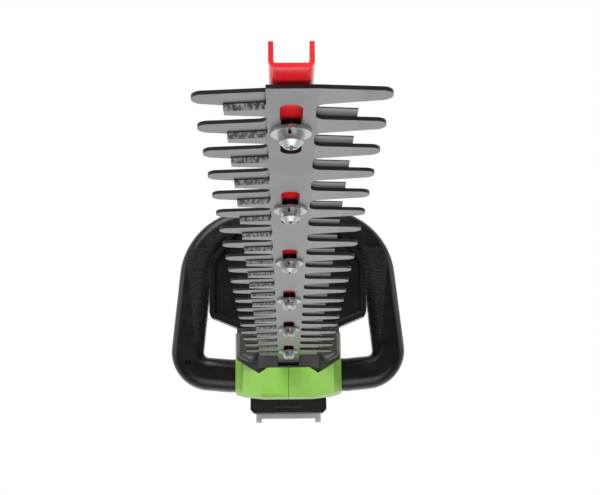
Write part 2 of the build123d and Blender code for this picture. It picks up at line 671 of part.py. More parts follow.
with BuildPart() as drive_gear:
    with BuildSketch(Plane.XY.offset(GEAR_Z)):
        with BuildLine():
            Polyline(*gear_outline(GEAR_TEETH, pi / 2 + pi / GEAR_TEETH), close=True)
        make_face()
        Circle(CRANK_SHAFT_RADIUS + SHAFT_FIT, mode=Mode.SUBTRACT)
        with PolarLocations(GEAR_HOLE_CIRCLE, GEAR_HOLE_COUNT):
            Circle(GEAR_HOLE_RADIUS, mode=Mode.SUBTRACT)
    extrude(amount=GEAR_WIDTH)
save(drive_gear, "drive_gear")

# Motor: pinion, shaft, rotor and fan turn, the can and the stator stand still
with BuildPart() as motor_pinion:
    with BuildSketch(Plane.XY.offset(GEAR_Z)):
        with Locations((0, MOTOR_Y)):
            with BuildLine(mode=Mode.PRIVATE) as pinion_line:
                Polyline(*gear_outline(PINION_TEETH, -pi / 2), close=True)
            add(make_face(pinion_line.edges(), mode=Mode.PRIVATE))
            Circle(ROTOR_SHAFT_RADIUS + SHAFT_FIT, mode=Mode.SUBTRACT)
    extrude(amount=GEAR_WIDTH)
save(motor_pinion, "motor_pinion")

with BuildPart() as motor_shaft:
    with Locations((0, MOTOR_Y, GEAR_Z)):
        Cylinder(ROTOR_SHAFT_RADIUS, MOTOR_TOP_Z + UPPER_BEARING_WIDTH - GEAR_Z, align=UPWARD)
save(motor_shaft, "motor_shaft")

with BuildPart() as motor_rotor:
    with BuildSketch(Plane.XY.offset(STATOR_Z)):
        with Locations((0, MOTOR_Y)):
            Circle(ROTOR_RADIUS)
            Circle(ROTOR_SHAFT_RADIUS + SHAFT_FIT, mode=Mode.SUBTRACT)
            with PolarLocations(ROTOR_RADIUS, ROTOR_SLOT_COUNT):
                Rectangle(ROTOR_SLOT_LENGTH, ROTOR_SLOT_WIDTH, mode=Mode.SUBTRACT)
    extrude(amount=STATOR_LENGTH)
save(motor_rotor, "motor_rotor")

with BuildPart() as motor_fan:
    with BuildSketch(Plane.XY.offset(FAN_Z)):
        with Locations((0, MOTOR_Y)):
            Circle(FAN_RADIUS)
            Circle(ROTOR_SHAFT_RADIUS + SHAFT_FIT, mode=Mode.SUBTRACT)
    extrude(amount=FAN_DISC)
    with BuildSketch(Plane.XY.offset(FAN_Z + FAN_DISC)):
        with Locations((0, MOTOR_Y)):
            with PolarLocations(FAN_BLADE_CIRCLE, FAN_BLADE_COUNT):
                Rectangle(FAN_BLADE_LENGTH, FAN_DISC, rotation=FAN_BLADE_ANGLE)
    extrude(amount=FAN_HEIGHT - FAN_DISC)
save(motor_fan, "motor_fan")

with BuildPart() as motor_stator:
    with BuildSketch(Plane.XY.offset(STATOR_Z)):
        with Locations((0, MOTOR_Y)):
            Circle(MOTOR_RADIUS)
            Circle(STATOR_BORE_RADIUS, mode=Mode.SUBTRACT)
            with PolarLocations(STATOR_BORE_RADIUS + STATOR_SLOT_OFFSET, STATOR_POLE_COUNT):
                Rectangle(STATOR_SLOT_LENGTH, STATOR_SLOT_WIDTH, mode=Mode.SUBTRACT)
    extrude(amount=STATOR_LENGTH)
save(motor_stator, "motor_stator")

with BuildPart() as motor_can:
    with Locations((0, MOTOR_Y, CASE_TOP_Z)):
        Cylinder(MOTOR_RADIUS + CAN_WALL, MOTOR_TOP_Z + UPPER_BEARING_WIDTH + CAN_WALL - CASE_TOP_Z,
                 align=UPWARD)
        Cylinder(MOTOR_RADIUS, MOTOR_TOP_Z - CASE_TOP_Z, align=UPWARD,
                 mode=Mode.SUBTRACT)
        Cylinder(MOTOR_BEARING_RADIUS, MOTOR_TOP_Z + UPPER_BEARING_WIDTH - CASE_TOP_Z,
                 align=UPWARD, mode=Mode.SUBTRACT)
    with Locations((0, MOTOR_Y, FAN_Z + FAN_HEIGHT / 2)):
        with PolarLocations(MOTOR_RADIUS, CAN_VENT_COUNT):
            Box(4 * CAN_WALL, CAN_VENT_WIDTH, FAN_HEIGHT, mode=Mode.SUBTRACT)
save(motor_can, "motor_can")


def halves(whole, left_name, right_name):
    """Split a housing at its parting plane into a left and a right shell."""
    with BuildPart() as left_shell:
        add(whole.part)
        split(bisect_by=Plane.YZ, keep=Keep.BOTTOM)
    save(left_shell, left_name)
    with BuildPart() as right_shell:
        add(whole.part)
        split(bisect_by=Plane.YZ, keep=Keep.TOP)
    save(right_shell, right_name)


# Front housing with the faceted chin, open at the top and in front of the gear case
front_plan = [
    (CHIN_HALF_WIDTH, HOUSING_FRONT_Y),
    (FACET_HALF_WIDTH, FACET_Y),
    (HOUSING_HALF_WIDTH, SHOULDER_Y),
    (HOUSING_HALF_WIDTH, HOUSING_REAR_Y - SOCKET_DEPTH),
    (HOUSING_HALF_WIDTH - SOCKET_DEPTH, HOUSING_REAR_Y),
]
with BuildPart() as front_housing:
    with BuildSketch(Plane.XY.offset(FOOT_Z)):
        with BuildLine():
            Polyline(*front_plan, *[(-x, y) for x, y in reversed(front_plan)], close=True)
        make_face()
    extrude(amount=HOUSING_TOP_Z - FOOT_Z)
    # The sides sweep up from the foot of the chin in two folds
    with BuildSketch(station(HOUSING_FRONT_Y - FIT_GAP)):
        for side in (1, -1):
            with BuildLine():
                Polyline(
                    (side * CHIN_FOOT_HALF, FOOT_Z - RUN_GAP),
                    (side * (HOUSING_HALF_WIDTH + RUN_GAP), FOOT_Z - RUN_GAP),
                    (side * (HOUSING_HALF_WIDTH + RUN_GAP), SIDE_RISE_Z),
                    (side * SIDE_FOLD_X, SIDE_FOLD_Z),
                    (side * CHIN_FOOT_HALF, FOOT_Z),
                    close=True,
                )
            make_face()
    extrude(amount=-(HOUSING_REAR_Y - HOUSING_FRONT_Y + 2 * FIT_GAP), mode=Mode.SUBTRACT)
    # The foot is short: its front edge is broken and the underside rises behind it
    with BuildSketch(Plane.YZ):
        with BuildLine():
            Polyline(
                (HOUSING_FRONT_Y - RUN_GAP, FOOT_Z - RUN_GAP),
                (HOUSING_FRONT_Y - RUN_GAP, FOOT_Z + CHIN_EDGE + RUN_GAP),
                (HOUSING_FRONT_Y + CHIN_EDGE + RUN_GAP, FOOT_Z - RUN_GAP),
                close=True,
            )
        make_face()
        with BuildLine():
            Polyline(
                (CHIN_FOOT_REAR_Y, FOOT_Z),
                (HOUSING_REAR_Y, TAIL_RISE_Z),
                (HOUSING_REAR_Y + RUN_GAP, TAIL_RISE_Z),
                (HOUSING_REAR_Y + RUN_GAP, FOOT_Z - RUN_GAP),
                (CHIN_FOOT_REAR_Y, FOOT_Z - RUN_GAP),
                close=True,
            )
        make_face()
    extrude(amount=HOUSING_HALF_WIDTH + RUN_GAP, both=True, mode=Mode.SUBTRACT)
    # Mouth that the bumper fills, with a notch either side of the chin
    with BuildSketch(station(HOUSING_FRONT_Y - CUT_MARGIN)):
        with BuildLine():
            Polyline(
                (-CHIN_TOP_HALF, CHIN_TOP_Z),
                (CHIN_TOP_HALF, CHIN_TOP_Z),
                (NOTCH_HALF, NOTCH_Z),
                (MOUTH_HALF_WIDTH, MOUTH_SIDE_Z),
                (MOUTH_HALF_WIDTH, HOUSING_TOP_Z + CUT_MARGIN),
                (-MOUTH_HALF_WIDTH, HOUSING_TOP_Z + CUT_MARGIN),
                (-MOUTH_HALF_WIDTH, MOUTH_SIDE_Z),
                (-NOTCH_HALF, NOTCH_Z),
                close=True,
            )
        make_face()
    extrude(amount=-(CASE_FRONT_Y - HOUSING_FRONT_Y + CUT_MARGIN), mode=Mode.SUBTRACT)
    # Bay for the gear case
    with BuildSketch(Plane.XY.offset(CASE_BOTTOM_Z)):
        with Locations((0, case_middle)):
            RectangleRounded(2 * CASE_HALF_WIDTH, case_length, CASE_CORNER)
    extrude(amount=HOUSING_TOP_Z - CASE_BOTTOM_Z + CUT_MARGIN, mode=Mode.SUBTRACT)
    with Locations((0, MOTOR_Y, CASE_TOP_Z)):
        Cylinder(MOTOR_RADIUS + CAN_WALL, HOUSING_TOP_Z, align=UPWARD, mode=Mode.SUBTRACT)
    # Sockets for the two ends of the loop handle
    for side in (1, -1):
        with BuildSketch(Plane.YZ.offset(side * (HOUSING_HALF_WIDTH - SOCKET_DEPTH))):
            with Locations((LOOP_PLANE_Y, LOOP_BOTTOM_Z)):
                RectangleRounded(LOOP_TUBE_DEPTH, LOOP_TUBE_WIDTH, LOOP_TUBE_ROUND)
        extrude(amount=side * (SOCKET_DEPTH + CUT_MARGIN), mode=Mode.SUBTRACT)
    # Screw holes across the parting plane, entered from the left
    for y, z in HOUSING_SCREW_PLACES:
        with Locations(Location((-HOUSING_HALF_WIDTH - CUT_MARGIN, y, z), (0, 90, 0))):
            Cylinder(HOUSING_SCREW_HEAD, SCREW_SINK + CUT_MARGIN, align=UPWARD, mode=Mode.SUBTRACT)
            Cylinder(HOUSING_SCREW_RADIUS, HOUSING_HALF_WIDTH + SCREW_BITE + CUT_MARGIN,
                     align=UPWARD, mode=Mode.SUBTRACT)
halves(front_housing, "front_housing_left", "front_housing_right")

# Black bumper round the blade roots: a plate with flat pads and two rounded lobes
with BuildPart() as lobe:
    with BuildSketch(station(BUMPER_FRONT_Y + PAD_DEPTH - LOBE_DEPTH)) as lobe_face:
        with BuildLine():
            Polyline(
                (LOBE_INNER, LOBE_LOW_Z),
                (MOUTH_HALF_WIDTH, LOBE_SIDE_Z),
                (MOUTH_HALF_WIDTH, LOBE_TOP_Z),
                (LOBE_INNER, LOBE_TOP_Z),
                close=True,
            )
        make_face()
        fillet(lobe_face.vertices(), LOBE_CORNER)
    extrude(amount=-LOBE_DEPTH)
    fillet(lobe.edges().group_by(Axis.Y)[0], LOBE_ROUND)
with BuildPart() as front_bumper:
    with BuildSketch(station(BUMPER_FRONT_Y + PAD_DEPTH)):
        with BuildLine():
            Polyline(
                (-CHIN_TOP_HALF, CHIN_TOP_Z),
                (CHIN_TOP_HALF, CHIN_TOP_Z),
                (NOTCH_HALF, NOTCH_Z),
                (MOUTH_HALF_WIDTH, MOUTH_SIDE_Z),
                (MOUTH_HALF_WIDTH, HOUSING_TOP_Z),
                (-MOUTH_HALF_WIDTH, HOUSING_TOP_Z),
                (-MOUTH_HALF_WIDTH, MOUTH_SIDE_Z),
                (-NOTCH_HALF, NOTCH_Z),
                close=True,
            )
        make_face()
    extrude(amount=-(CASE_FRONT_Y - BUMPER_FRONT_Y - PAD_DEPTH))
    # Flat pads beside the blades
    for side in (1, -1):
        with Locations((side * (PAD_HALF_WIDTH + MOUTH_BLADE_HALF) / 2, BUMPER_FRONT_Y + PAD_DEPTH / 2,
                        (CHIN_TOP_Z + PAD_TOP_Z) / 2)):
            Box(PAD_HALF_WIDTH - MOUTH_BLADE_HALF, PAD_DEPTH, PAD_TOP_Z - CHIN_TOP_Z)
    with Locations((0, BUMPER_FRONT_Y, (MOUTH_BLADE_Z + BAR_Z + BAR_HEIGHT) / 2)):
        Box(2 * MOUTH_BLADE_HALF, MOUTH_DEPTH, BAR_Z + BAR_HEIGHT + 2 * RUN_GAP - MOUTH_BLADE_Z,
            mode=Mode.SUBTRACT)
    # Rounded lobes at the two sides
    add(lobe.part)
    mirror(lobe.part, about=Plane.YZ)
save(front_bumper, "front_bumper")

with BuildPart() as housing_screws:
    for y, z in HOUSING_SCREW_PLACES:
        with Locations(Location((-HOUSING_HALF_WIDTH + SCREW_SINK, y, z), (0, 90, 0))):
            Cylinder(HOUSING_SCREW_RADIUS - SHAFT_FIT,
                     HOUSING_HALF_WIDTH - SCREW_SINK + SCREW_BITE - CUT_MARGIN, align=UPWARD)
        with Locations(Location((-HOUSING_HALF_WIDTH + SCREW_SINK, y, z), (0, -90, 0))):
            Cylinder(HOUSING_SCREW_HEAD - FIT_GAP, HOUSING_SCREW_RADIUS, align=UPWARD)
save(housing_screws, "housing_screws")

# Loop handle, one swept tube split into a front and a rear shell
loop_end = HOUSING_HALF_WIDTH - SOCKET_DEPTH
loop_radii = (LOOP_BEND_RADIUS, LOOP_BOTTOM_RADIUS, LOOP_TOP_RADIUS)
with BuildPart() as loop_handle:
    with BuildLine(station(LOOP_PLANE_Y)) as loop_path:
        FilletPolyline(
            (-loop_end, LOOP_BOTTOM_Z),
            (-LOOP_BEND_X, LOOP_BOTTOM_Z),
            (-LOOP_BOTTOM_HALF, LOOP_CORNER_Z),
            (-LOOP_TOP_HALF, LOOP_TOP_Z),
            (LOOP_TOP_HALF, LOOP_TOP_Z),
            (LOOP_BOTTOM_HALF, LOOP_CORNER_Z),
            (LOOP_BEND_X, LOOP_BOTTOM_Z),
            (loop_end, LOOP_BOTTOM_Z),
            radius=(*loop_radii, *reversed(loop_radii)),
        )
    with BuildSketch(Plane.YZ.offset(-loop_end)):
        with Locations((LOOP_PLANE_Y, LOOP_BOTTOM_Z)):
            RectangleRounded(LOOP_TUBE_DEPTH, LOOP_TUBE_WIDTH, LOOP_TUBE_ROUND)
    sweep(path=loop_path.wires()[0])
    for x, z in LOOP_SCREW_PLACES:
        with Locations(Location((x, LOOP_PLANE_Y - LOOP_TUBE_DEPTH / 2, z), (-90, 0, 0))):
            Cylinder(LOOP_SCREW_HEAD, 2 * LOOP_SCREW_SINK, mode=Mode.SUBTRACT)
            Cylinder(LOOP_SCREW_RADIUS, LOOP_TUBE_DEPTH - LOOP_SCREW_SINK, align=UPWARD,
                     mode=Mode.SUBTRACT)
parting = station(LOOP_PLANE_Y)
with BuildPart() as loop_handle_front:
    add(loop_handle.part)
    split(bisect_by=parting, keep=Keep.TOP)
save(loop_handle_front, "loop_handle_front")
with BuildPart() as loop_handle_rear:
    add(loop_handle.part)
    split(bisect_by=parting, keep=Keep.BOTTOM)
save(loop_handle_rear, "loop_handle_rear")

with BuildPart() as loop_handle_screws:
    for x, z in LOOP_SCREW_PLACES:
        with Locations(Location((x, LOOP_PLANE_Y - LOOP_TUBE_DEPTH / 2 + LOOP_SCREW_SINK, z), (-90, 0, 0))):
            Cylinder(LOOP_SCREW_RADIUS - SHAFT_FIT, LOOP_TUBE_DEPTH - 2 * LOOP_SCREW_SINK - CUT_MARGIN,
                     align=UPWARD)
        with Locations(Location((x, LOOP_PLANE_Y - LOOP_TUBE_DEPTH / 2 + LOOP_SCREW_SINK, z), (90, 0, 0))):
            Cylinder(LOOP_SCREW_HEAD - FIT_GAP, LOOP_SCREW_RADIUS, align=UPWARD)
save(loop_handle_screws, "loop_handle_screws")

# Hand guard: a dished shield with a rolled rim
guard_side = [
    (GUARD_FOOT_HALF, GUARD_BOTTOM_Z),
    (GUARD_HALF_WIDTH, GUARD_LOW_Z),
    (GUARD_HALF_WIDTH, GUARD_WIDE_Z),
    (GUARD_NOTCH_HALF, GUARD_NOTCH_Z),
    (GUARD_TOP_HALF, GUARD_TOP_Z),
]
guard_outline = guard_side + [(-x, z) for x, z in reversed(guard_side)]
with BuildPart() as hand_guard:
    with BuildSketch(station(GUARD_FRONT_Y)) as shield:
        with BuildLine():
            Polyline(*guard_outline, close=True)
        make_face()
        fillet(shield.vertices(), GUARD_CORNER)
    extrude(amount=-(GUARD_BACK_Y - GUARD_FRONT_Y))
    with BuildSketch(station(GUARD_FRONT_Y)) as dish:
        with BuildLine():
            Polyline(*guard_outline, close=True)
        make_face()
        fillet(dish.vertices(), GUARD_CORNER)
        offset(amount=-GUARD_RIM, mode=Mode.REPLACE)
    extrude(amount=-(GUARD_BACK_Y - GUARD_FRONT_Y - GUARD_THICKNESS), taper=GUARD_TAPER, mode=Mode.SUBTRACT)
    with Locations(*[Location((x, GUARD_BACK_Y, z), (90, 0, 0)) for x, z in GUARD_SCREW_PLACES]):
        Cylinder(GUARD_SCREW_RADIUS, 4 * GUARD_THICKNESS, mode=Mode.SUBTRACT)
save(hand_guard, "hand_guard")

guard_seat_y = GUARD_BACK_Y - GUARD_THICKNESS
with BuildPart() as guard_screws:
    with Locations(*[Location((x, guard_seat_y, z), (-90, 0, 0)) for x, z in GUARD_SCREW_PLACES]):
        Cylinder(GUARD_SCREW_RADIUS - SHAFT_FIT, GUARD_THICKNESS + GUARD_SCREW_BITE - CUT_MARGIN,
                 align=UPWARD)
    with Locations(*[Location((x, guard_seat_y, z), (90, 0, 0)) for x, z in GUARD_SCREW_PLACES]):
        Cylinder(2 * GUARD_SCREW_RADIUS, GUARD_SCREW_RADIUS, align=UPWARD)
save(guard_screws, "guard_screws")

# Rear body: motor tower, belly, battery platform with rails, bay wall and the D grip
with BuildPart() as rear_body:
    with BuildSketch(Plane.YZ):
        with BuildLine():
            Polyline(*TOWER_PROFILE, close=True)
        make_face()
    extrude(amount=TOWER_HALF_WIDTH, both=True)
    tower_edges = rear_body.edges().filter_by(lambda e: abs(e.center().X) > TOWER_HALF_WIDTH - CUT_MARGIN)
    fillet(tower_edges.filter_by(lambda e: e.center().Z > HOUSING_TOP_Z + CUT_MARGIN), TOWER_ROUND)
    with BuildSketch(Plane.YZ):
        with BuildLine():
            Polyline(*PLATFORM_PROFILE, close=True)
        make_face()
    extrude(amount=BODY_HALF_WIDTH, both=True)
with BuildPart() as grip:
    with BuildSketch(Plane.YZ) as grip_side:
        with BuildLine():
            Polyline(*GRIP_PROFILE, close=True)
        make_face()
        bends = grip_side.vertices().filter_by(lambda v: v.Y > GRIP_ROUND_Y and v.X > TOWER_REAR_Y)
        fillet(bends, GRIP_BEND)
    extrude(amount=GRIP_HALF_WIDTH, both=True)
    long_edges = grip.edges().filter_by(lambda e: abs(e.center().X) > GRIP_HALF_WIDTH - FIT_GAP)
    rear_edges = long_edges.filter_by(lambda e: e.center().Y > TOWER_REAR_Y + CUT_MARGIN)
    fillet(rear_edges.filter_by(lambda e: e.center().Z > PLATFORM_TOP_Z + GRIP_FOOT_RISE), GRIP_ROUND)
with BuildPart() as body:
    add(rear_body.part)
    add(grip.part)
    # Belly between the front housing and the battery bay
    with Locations((0, (HOUSING_REAR_Y + BAY_WALL_Y) / 2, (BELLY_Z + PLATFORM_Z) / 2)):
        Box(2 * BELLY_HALF_WIDTH, BAY_WALL_Y - HOUSING_REAR_Y, PLATFORM_Z - BELLY_Z)
    with BuildSketch(station(BAY_WALL_Y)) as wall:
        with Locations((0, (BAY_WALL_BOTTOM_Z + PLATFORM_Z) / 2)):
            Rectangle(2 * BODY_HALF_WIDTH, PLATFORM_Z - BAY_WALL_BOTTOM_Z)
        chamfer(wall.vertices().group_by(Axis.Y)[0], BAY_CHAMFER)
    extrude(amount=-BAY_WALL_THICKNESS)
    # Rails that carry the battery
    for side in (1, -1):
        for half, height in ((HEAD_HALF_WIDTH, PLATFORM_Z - RAIL_Z), (NECK_HALF_WIDTH, RAIL_LIP)):
            inner = half + RAIL_GAP
            with Locations((side * (RAIL_OUTER + inner) / 2, (BAY_REAR_Y + RAIL_REAR_Y) / 2, RAIL_Z)):
                Box(RAIL_OUTER - inner, RAIL_REAR_Y - BAY_REAR_Y, height, align=UPWARD)
    # Room for the motor, the board, the trigger, the switch and the lock button
    with Locations((0, MOTOR_Y, CASE_TOP_Z)):
        Cylinder(MOTOR_RADIUS + CAN_WALL, MOTOR_TOP_Z + UPPER_BEARING_WIDTH + CAN_WALL - CASE_TOP_Z,
                 align=UPWARD, mode=Mode.SUBTRACT)
    with Locations((0, (BOARD_FRONT_Y + BOARD_REAR_Y) / 2, BOARD_BAY_Z)):
        Box(2 * BOARD_HALF_WIDTH, BOARD_REAR_Y - BOARD_FRONT_Y, BOARD_BAY_HEIGHT,
            align=UPWARD, mode=Mode.SUBTRACT)
    with Locations((0, (TRIGGER_BAY_FRONT_Y + TRIGGER_BAY_REAR_Y) / 2, TRIGGER_BAY_TOP_Z)):
        Box(2 * (TRIGGER_HALF_WIDTH + TRIGGER_SIDE_GAP), TRIGGER_BAY_REAR_Y - TRIGGER_BAY_FRONT_Y,
            TRIGGER_BAY_DEPTH, align=DOWNWARD, mode=Mode.SUBTRACT)
    with Locations((0, TRIGGER_PIN_Y, TRIGGER_PIN_Z)):
        Cylinder(TRIGGER_PIN_RADIUS, 2 * TRIGGER_PIN_HALF, rotation=(0, 90, 0), mode=Mode.SUBTRACT)
    with Locations((0, (SWITCH_FRONT_Y + SWITCH_REAR_Y) / 2, (SWITCH_BOTTOM_Z + SWITCH_TOP_Z) / 2)):
        Box(2 * SWITCH_HALF_WIDTH, SWITCH_REAR_Y - SWITCH_FRONT_Y, SWITCH_TOP_Z - SWITCH_BOTTOM_Z,
            mode=Mode.SUBTRACT)
    with Locations((0, LOCK_Y, LOCK_BAY_Z)):
        Box(2 * (LOCK_HALF_WIDTH + FIT_GAP), LOCK_LENGTH + 2 * FIT_GAP, LOCK_BAY_DEPTH,
            align=UPWARD, mode=Mode.SUBTRACT)
    with Locations(*[Location((x, GUARD_BACK_Y, z), (90, 0, 0)) for x, z in GUARD_SCREW_PLACES]):
        Cylinder(GUARD_SCREW_RADIUS, 2 * GUARD_SCREW_BITE, mode=Mode.SUBTRACT)
    # Cooling louvres in both sides of the tower
    for side in (1, -1):
        with Locations((side * TOWER_HALF_WIDTH, MOTOR_Y, LOUVRE_Z)):
            with GridLocations(0, LOUVRE_PITCH, 1, LOUVRE_COUNT):
                Box(2 * LOUVRE_DEPTH, LOUVRE_WIDTH, LOUVRE_HEIGHT, mode=Mode.SUBTRACT)
halves(body, "body_left", "body_right")

with BuildPart() as trigger:
    with BuildSketch(Plane.YZ) as trigger_side:
        with BuildLine():
            Polyline(*TRIGGER_PROFILE, close=True)
        make_face()
        fillet(trigger_side.vertices().group_by(Axis.Y)[0], TRIGGER_ROUND)
        with Locations((TRIGGER_PIN_Y, TRIGGER_PIN_Z)):
            Circle(TRIGGER_EYE_RADIUS)
            Circle(TRIGGER_PIN_RADIUS + SHAFT_FIT, mode=Mode.SUBTRACT)
    extrude(amount=TRIGGER_HALF_WIDTH, both=True)
save(trigger, "trigger")

with BuildPart() as trigger_pin:
    with Locations((0, TRIGGER_PIN_Y, TRIGGER_PIN_Z)):
        Cylinder(TRIGGER_PIN_RADIUS, 2 * TRIGGER_PIN_HALF, rotation=(0, 90, 0))
save(trigger_pin, "trigger_pin")


def compression_spring(x, y, z, length, radius):
    """A short closed-in spring, shown as the sleeve that its turns fill."""
    with BuildPart() as sleeve:
        with Locations((x, y, z)):
            Cylinder(radius, length, align=UPWARD)
            Cylinder(radius - SPRING_WIRE, length, align=UPWARD, mode=Mode.SUBTRACT)
    return sleeve


trigger_spring = compression_spring(
    0, TRIGGER_SPRING_Y, TRIGGER_SPRING_Z, TRIGGER_BAY_TOP_Z - TRIGGER_SPRING_Z, SPRING_RADIUS)
save(trigger_spring, "trigger_spring")
lock_spring = compression_spring(0, LOCK_Y, LOCK_BAY_Z, LOCK_BOTTOM_Z - LOCK_BAY_Z, SPRING_RADIUS)
save(lock_spring, "lock_spring")

with BuildPart() as switch_module:
    with Locations((0, (SWITCH_FRONT_Y + SWITCH_REAR_Y) / 2, (SWITCH_BOTTOM_Z + SWITCH_TOP_Z) / 2)):
        Box(2 * SWITCH_HALF_WIDTH, SWITCH_REAR_Y - SWITCH_FRONT_Y, SWITCH_TOP_Z - SWITCH_BOTTOM_Z)
save(switch_module, "switch_module")

with BuildPart() as lock_button:
    with Locations((0, LOCK_Y, LOCK_BOTTOM_Z)):
        Box(2 * LOCK_HALF_WIDTH, LOCK_LENGTH, LOCK_HEIGHT, align=UPWARD)
    fillet(lock_button.edges().group_by(Axis.Z)[-1], LOCK_ROUND)
save(lock_button, "lock_button")

with BuildPart() as controller_board:
    with Locations((0, (BOARD_FRONT_Y + BOARD_REAR_Y) / 2, BOARD_BAY_Z)):
        Box(2 * (BOARD_HALF_WIDTH - BOARD_MARGIN), BOARD_REAR_Y - BOARD_FRONT_Y - 2 * BOARD_MARGIN,
            BOARD_THICKNESS, align=UPWARD)
    with Locations((0, (BOARD_FRONT_Y + BOARD_REAR_Y) / 2, BOARD_BAY_Z + BOARD_THICKNESS)):
        with GridLocations(CHIP_PITCH, 0, CHIP_COUNT, 1):
            Box(CHIP_SIDE, CHIP_SIDE, CHIP_HEIGHT, align=UPWARD)
save(controller_board, "controller_board")

with BuildPart() as terminal_block:
    with Locations((0, (BAY_REAR_Y + TERMINAL_REAR_Y) / 2, PLATFORM_Z)):
        Box(2 * TERMINAL_HALF_WIDTH, TERMINAL_REAR_Y - BAY_REAR_Y, TERMINAL_HEIGHT, align=DOWNWARD)
save(terminal_block, "terminal_block")

# Battery pack: grey base with two feet, black case with a T head that slides on the rails
pack_length = PACK_REAR_Y - PACK_FRONT_Y
pack_middle = (PACK_REAR_Y + PACK_FRONT_Y) / 2
cell_length = CELL_BAY_REAR_Y - PACK_FRONT_Y - PACK_WALL
cell_middle = (CELL_BAY_REAR_Y + PACK_FRONT_Y + PACK_WALL) / 2
latch_middle = (LATCH_FRONT_Y + LATCH_REAR_Y) / 2
contact_z = (HEAD_Z + PACK_TOP_Z) / 2
with BuildPart() as battery_base:
    with BuildSketch(Plane.XY) as base_plan:
        with Locations((0, pack_middle)):
            RectangleRounded(2 * PACK_HALF_WIDTH, pack_length, PACK_CORNER)
    extrude(amount=PACK_SPLIT_Z)
    # The underside rises to the rear, behind two short feet at the front corners
    foot_rear_y = PACK_FRONT_Y + FOOT_LENGTH
    foot_rear_z = FOOT_HEIGHT + (PACK_TAIL_Z - FOOT_HEIGHT) * FOOT_LENGTH / pack_length
    between_feet = (PACK_FRONT_Y, FOOT_HEIGHT, FOOT_INNER)
    behind_feet = (foot_rear_y, foot_rear_z, PACK_HALF_WIDTH)
    for front_y, front_z, half in (between_feet, behind_feet):
        with BuildSketch(Plane.YZ):
            with BuildLine():
                Polyline(
                    (front_y, 0),
                    (front_y, front_z),
                    (PACK_REAR_Y, PACK_TAIL_Z),
                    (PACK_REAR_Y, 0),
                    close=True,
                )
            make_face()
        extrude(amount=half, both=True, mode=Mode.SUBTRACT)
    with Locations((0, cell_middle, PACK_FLOOR_Z)):
        Box(2 * (PACK_HALF_WIDTH - PACK_WALL), cell_length, PACK_SPLIT_Z,
            align=UPWARD, mode=Mode.SUBTRACT)
save(battery_base, "battery_base")

with BuildPart() as battery_case:
    with BuildSketch(Plane.XY.offset(PACK_SPLIT_Z)):
        with Locations((0, pack_middle)):
            RectangleRounded(2 * PACK_HALF_WIDTH, pack_length, PACK_CORNER)
    extrude(amount=SHOULDER_Z - PACK_SPLIT_Z)
    fillet(battery_case.edges().group_by(Axis.Z)[-1], PACK_ROUND)
    for half, low, high in ((NECK_HALF_WIDTH, SHOULDER_Z, HEAD_Z), (HEAD_HALF_WIDTH, HEAD_Z, PACK_TOP_Z)):
        with Locations((0, (HEAD_FRONT_Y + RAIL_REAR_Y) / 2, low)):
            Box(2 * half, RAIL_REAR_Y - HEAD_FRONT_Y, high - low, align=UPWARD)
    with Locations((0, cell_middle, PACK_SPLIT_Z)):
        Box(2 * (PACK_HALF_WIDTH - PACK_WALL), cell_length, CELL_TOP_Z - PACK_SPLIT_Z,
            align=UPWARD, mode=Mode.SUBTRACT)
    with Locations((0, latch_middle, LATCH_BAY_Z)):
        Box(2 * (LATCH_HALF_WIDTH + FIT_GAP), LATCH_REAR_Y - LATCH_FRONT_Y + 2 * FIT_GAP, PACK_TOP_Z,
            align=UPWARD, mode=Mode.SUBTRACT)
    with Locations(*[(x, HEAD_FRONT_Y, contact_z) for x in CONTACT_PLACES]):
        Box(CONTACT_WIDTH, 2 * CONTACT_DEPTH, CONTACT_HEIGHT, mode=Mode.SUBTRACT)
save(battery_case, "battery_case")

with BuildPart() as battery_contacts:
    with Locations(*[(x, HEAD_FRONT_Y + CONTACT_DEPTH / 2, contact_z) for x in CONTACT_PLACES]):
        Box(CONTACT_WIDTH, CONTACT_DEPTH, CONTACT_HEIGHT)
save(battery_contacts, "battery_contacts")

with BuildPart() as battery_cells:
    for z in CELL_LEVELS:
        with Locations((0, cell_middle, z)):
            with GridLocations(0, CELL_PITCH, 1, CELL_COUNT):
                Cylinder(CELL_RADIUS, CELL_LENGTH, rotation=(0, 90, 0))
save(battery_cells, "battery_cells")

with BuildPart() as battery_latch:
    with Locations((0, latch_middle, LATCH_Z)):
        Box(2 * LATCH_HALF_WIDTH, LATCH_REAR_Y - LATCH_FRONT_Y, LATCH_HEIGHT, align=UPWARD)
    fillet(battery_latch.edges().group_by(Axis.Z)[-1], LATCH_ROUND)
save(battery_latch, "battery_latch")
latch_spring = compression_spring(
    0, latch_middle, LATCH_BAY_Z, LATCH_Z - LATCH_BAY_Z, SPRING_RADIUS)
save(latch_spring, "latch_spring")
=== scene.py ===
import json
import math

import bmesh
import bpy
from mathutils import Matrix, Vector
from mathutils.bvhtree import BVHTree


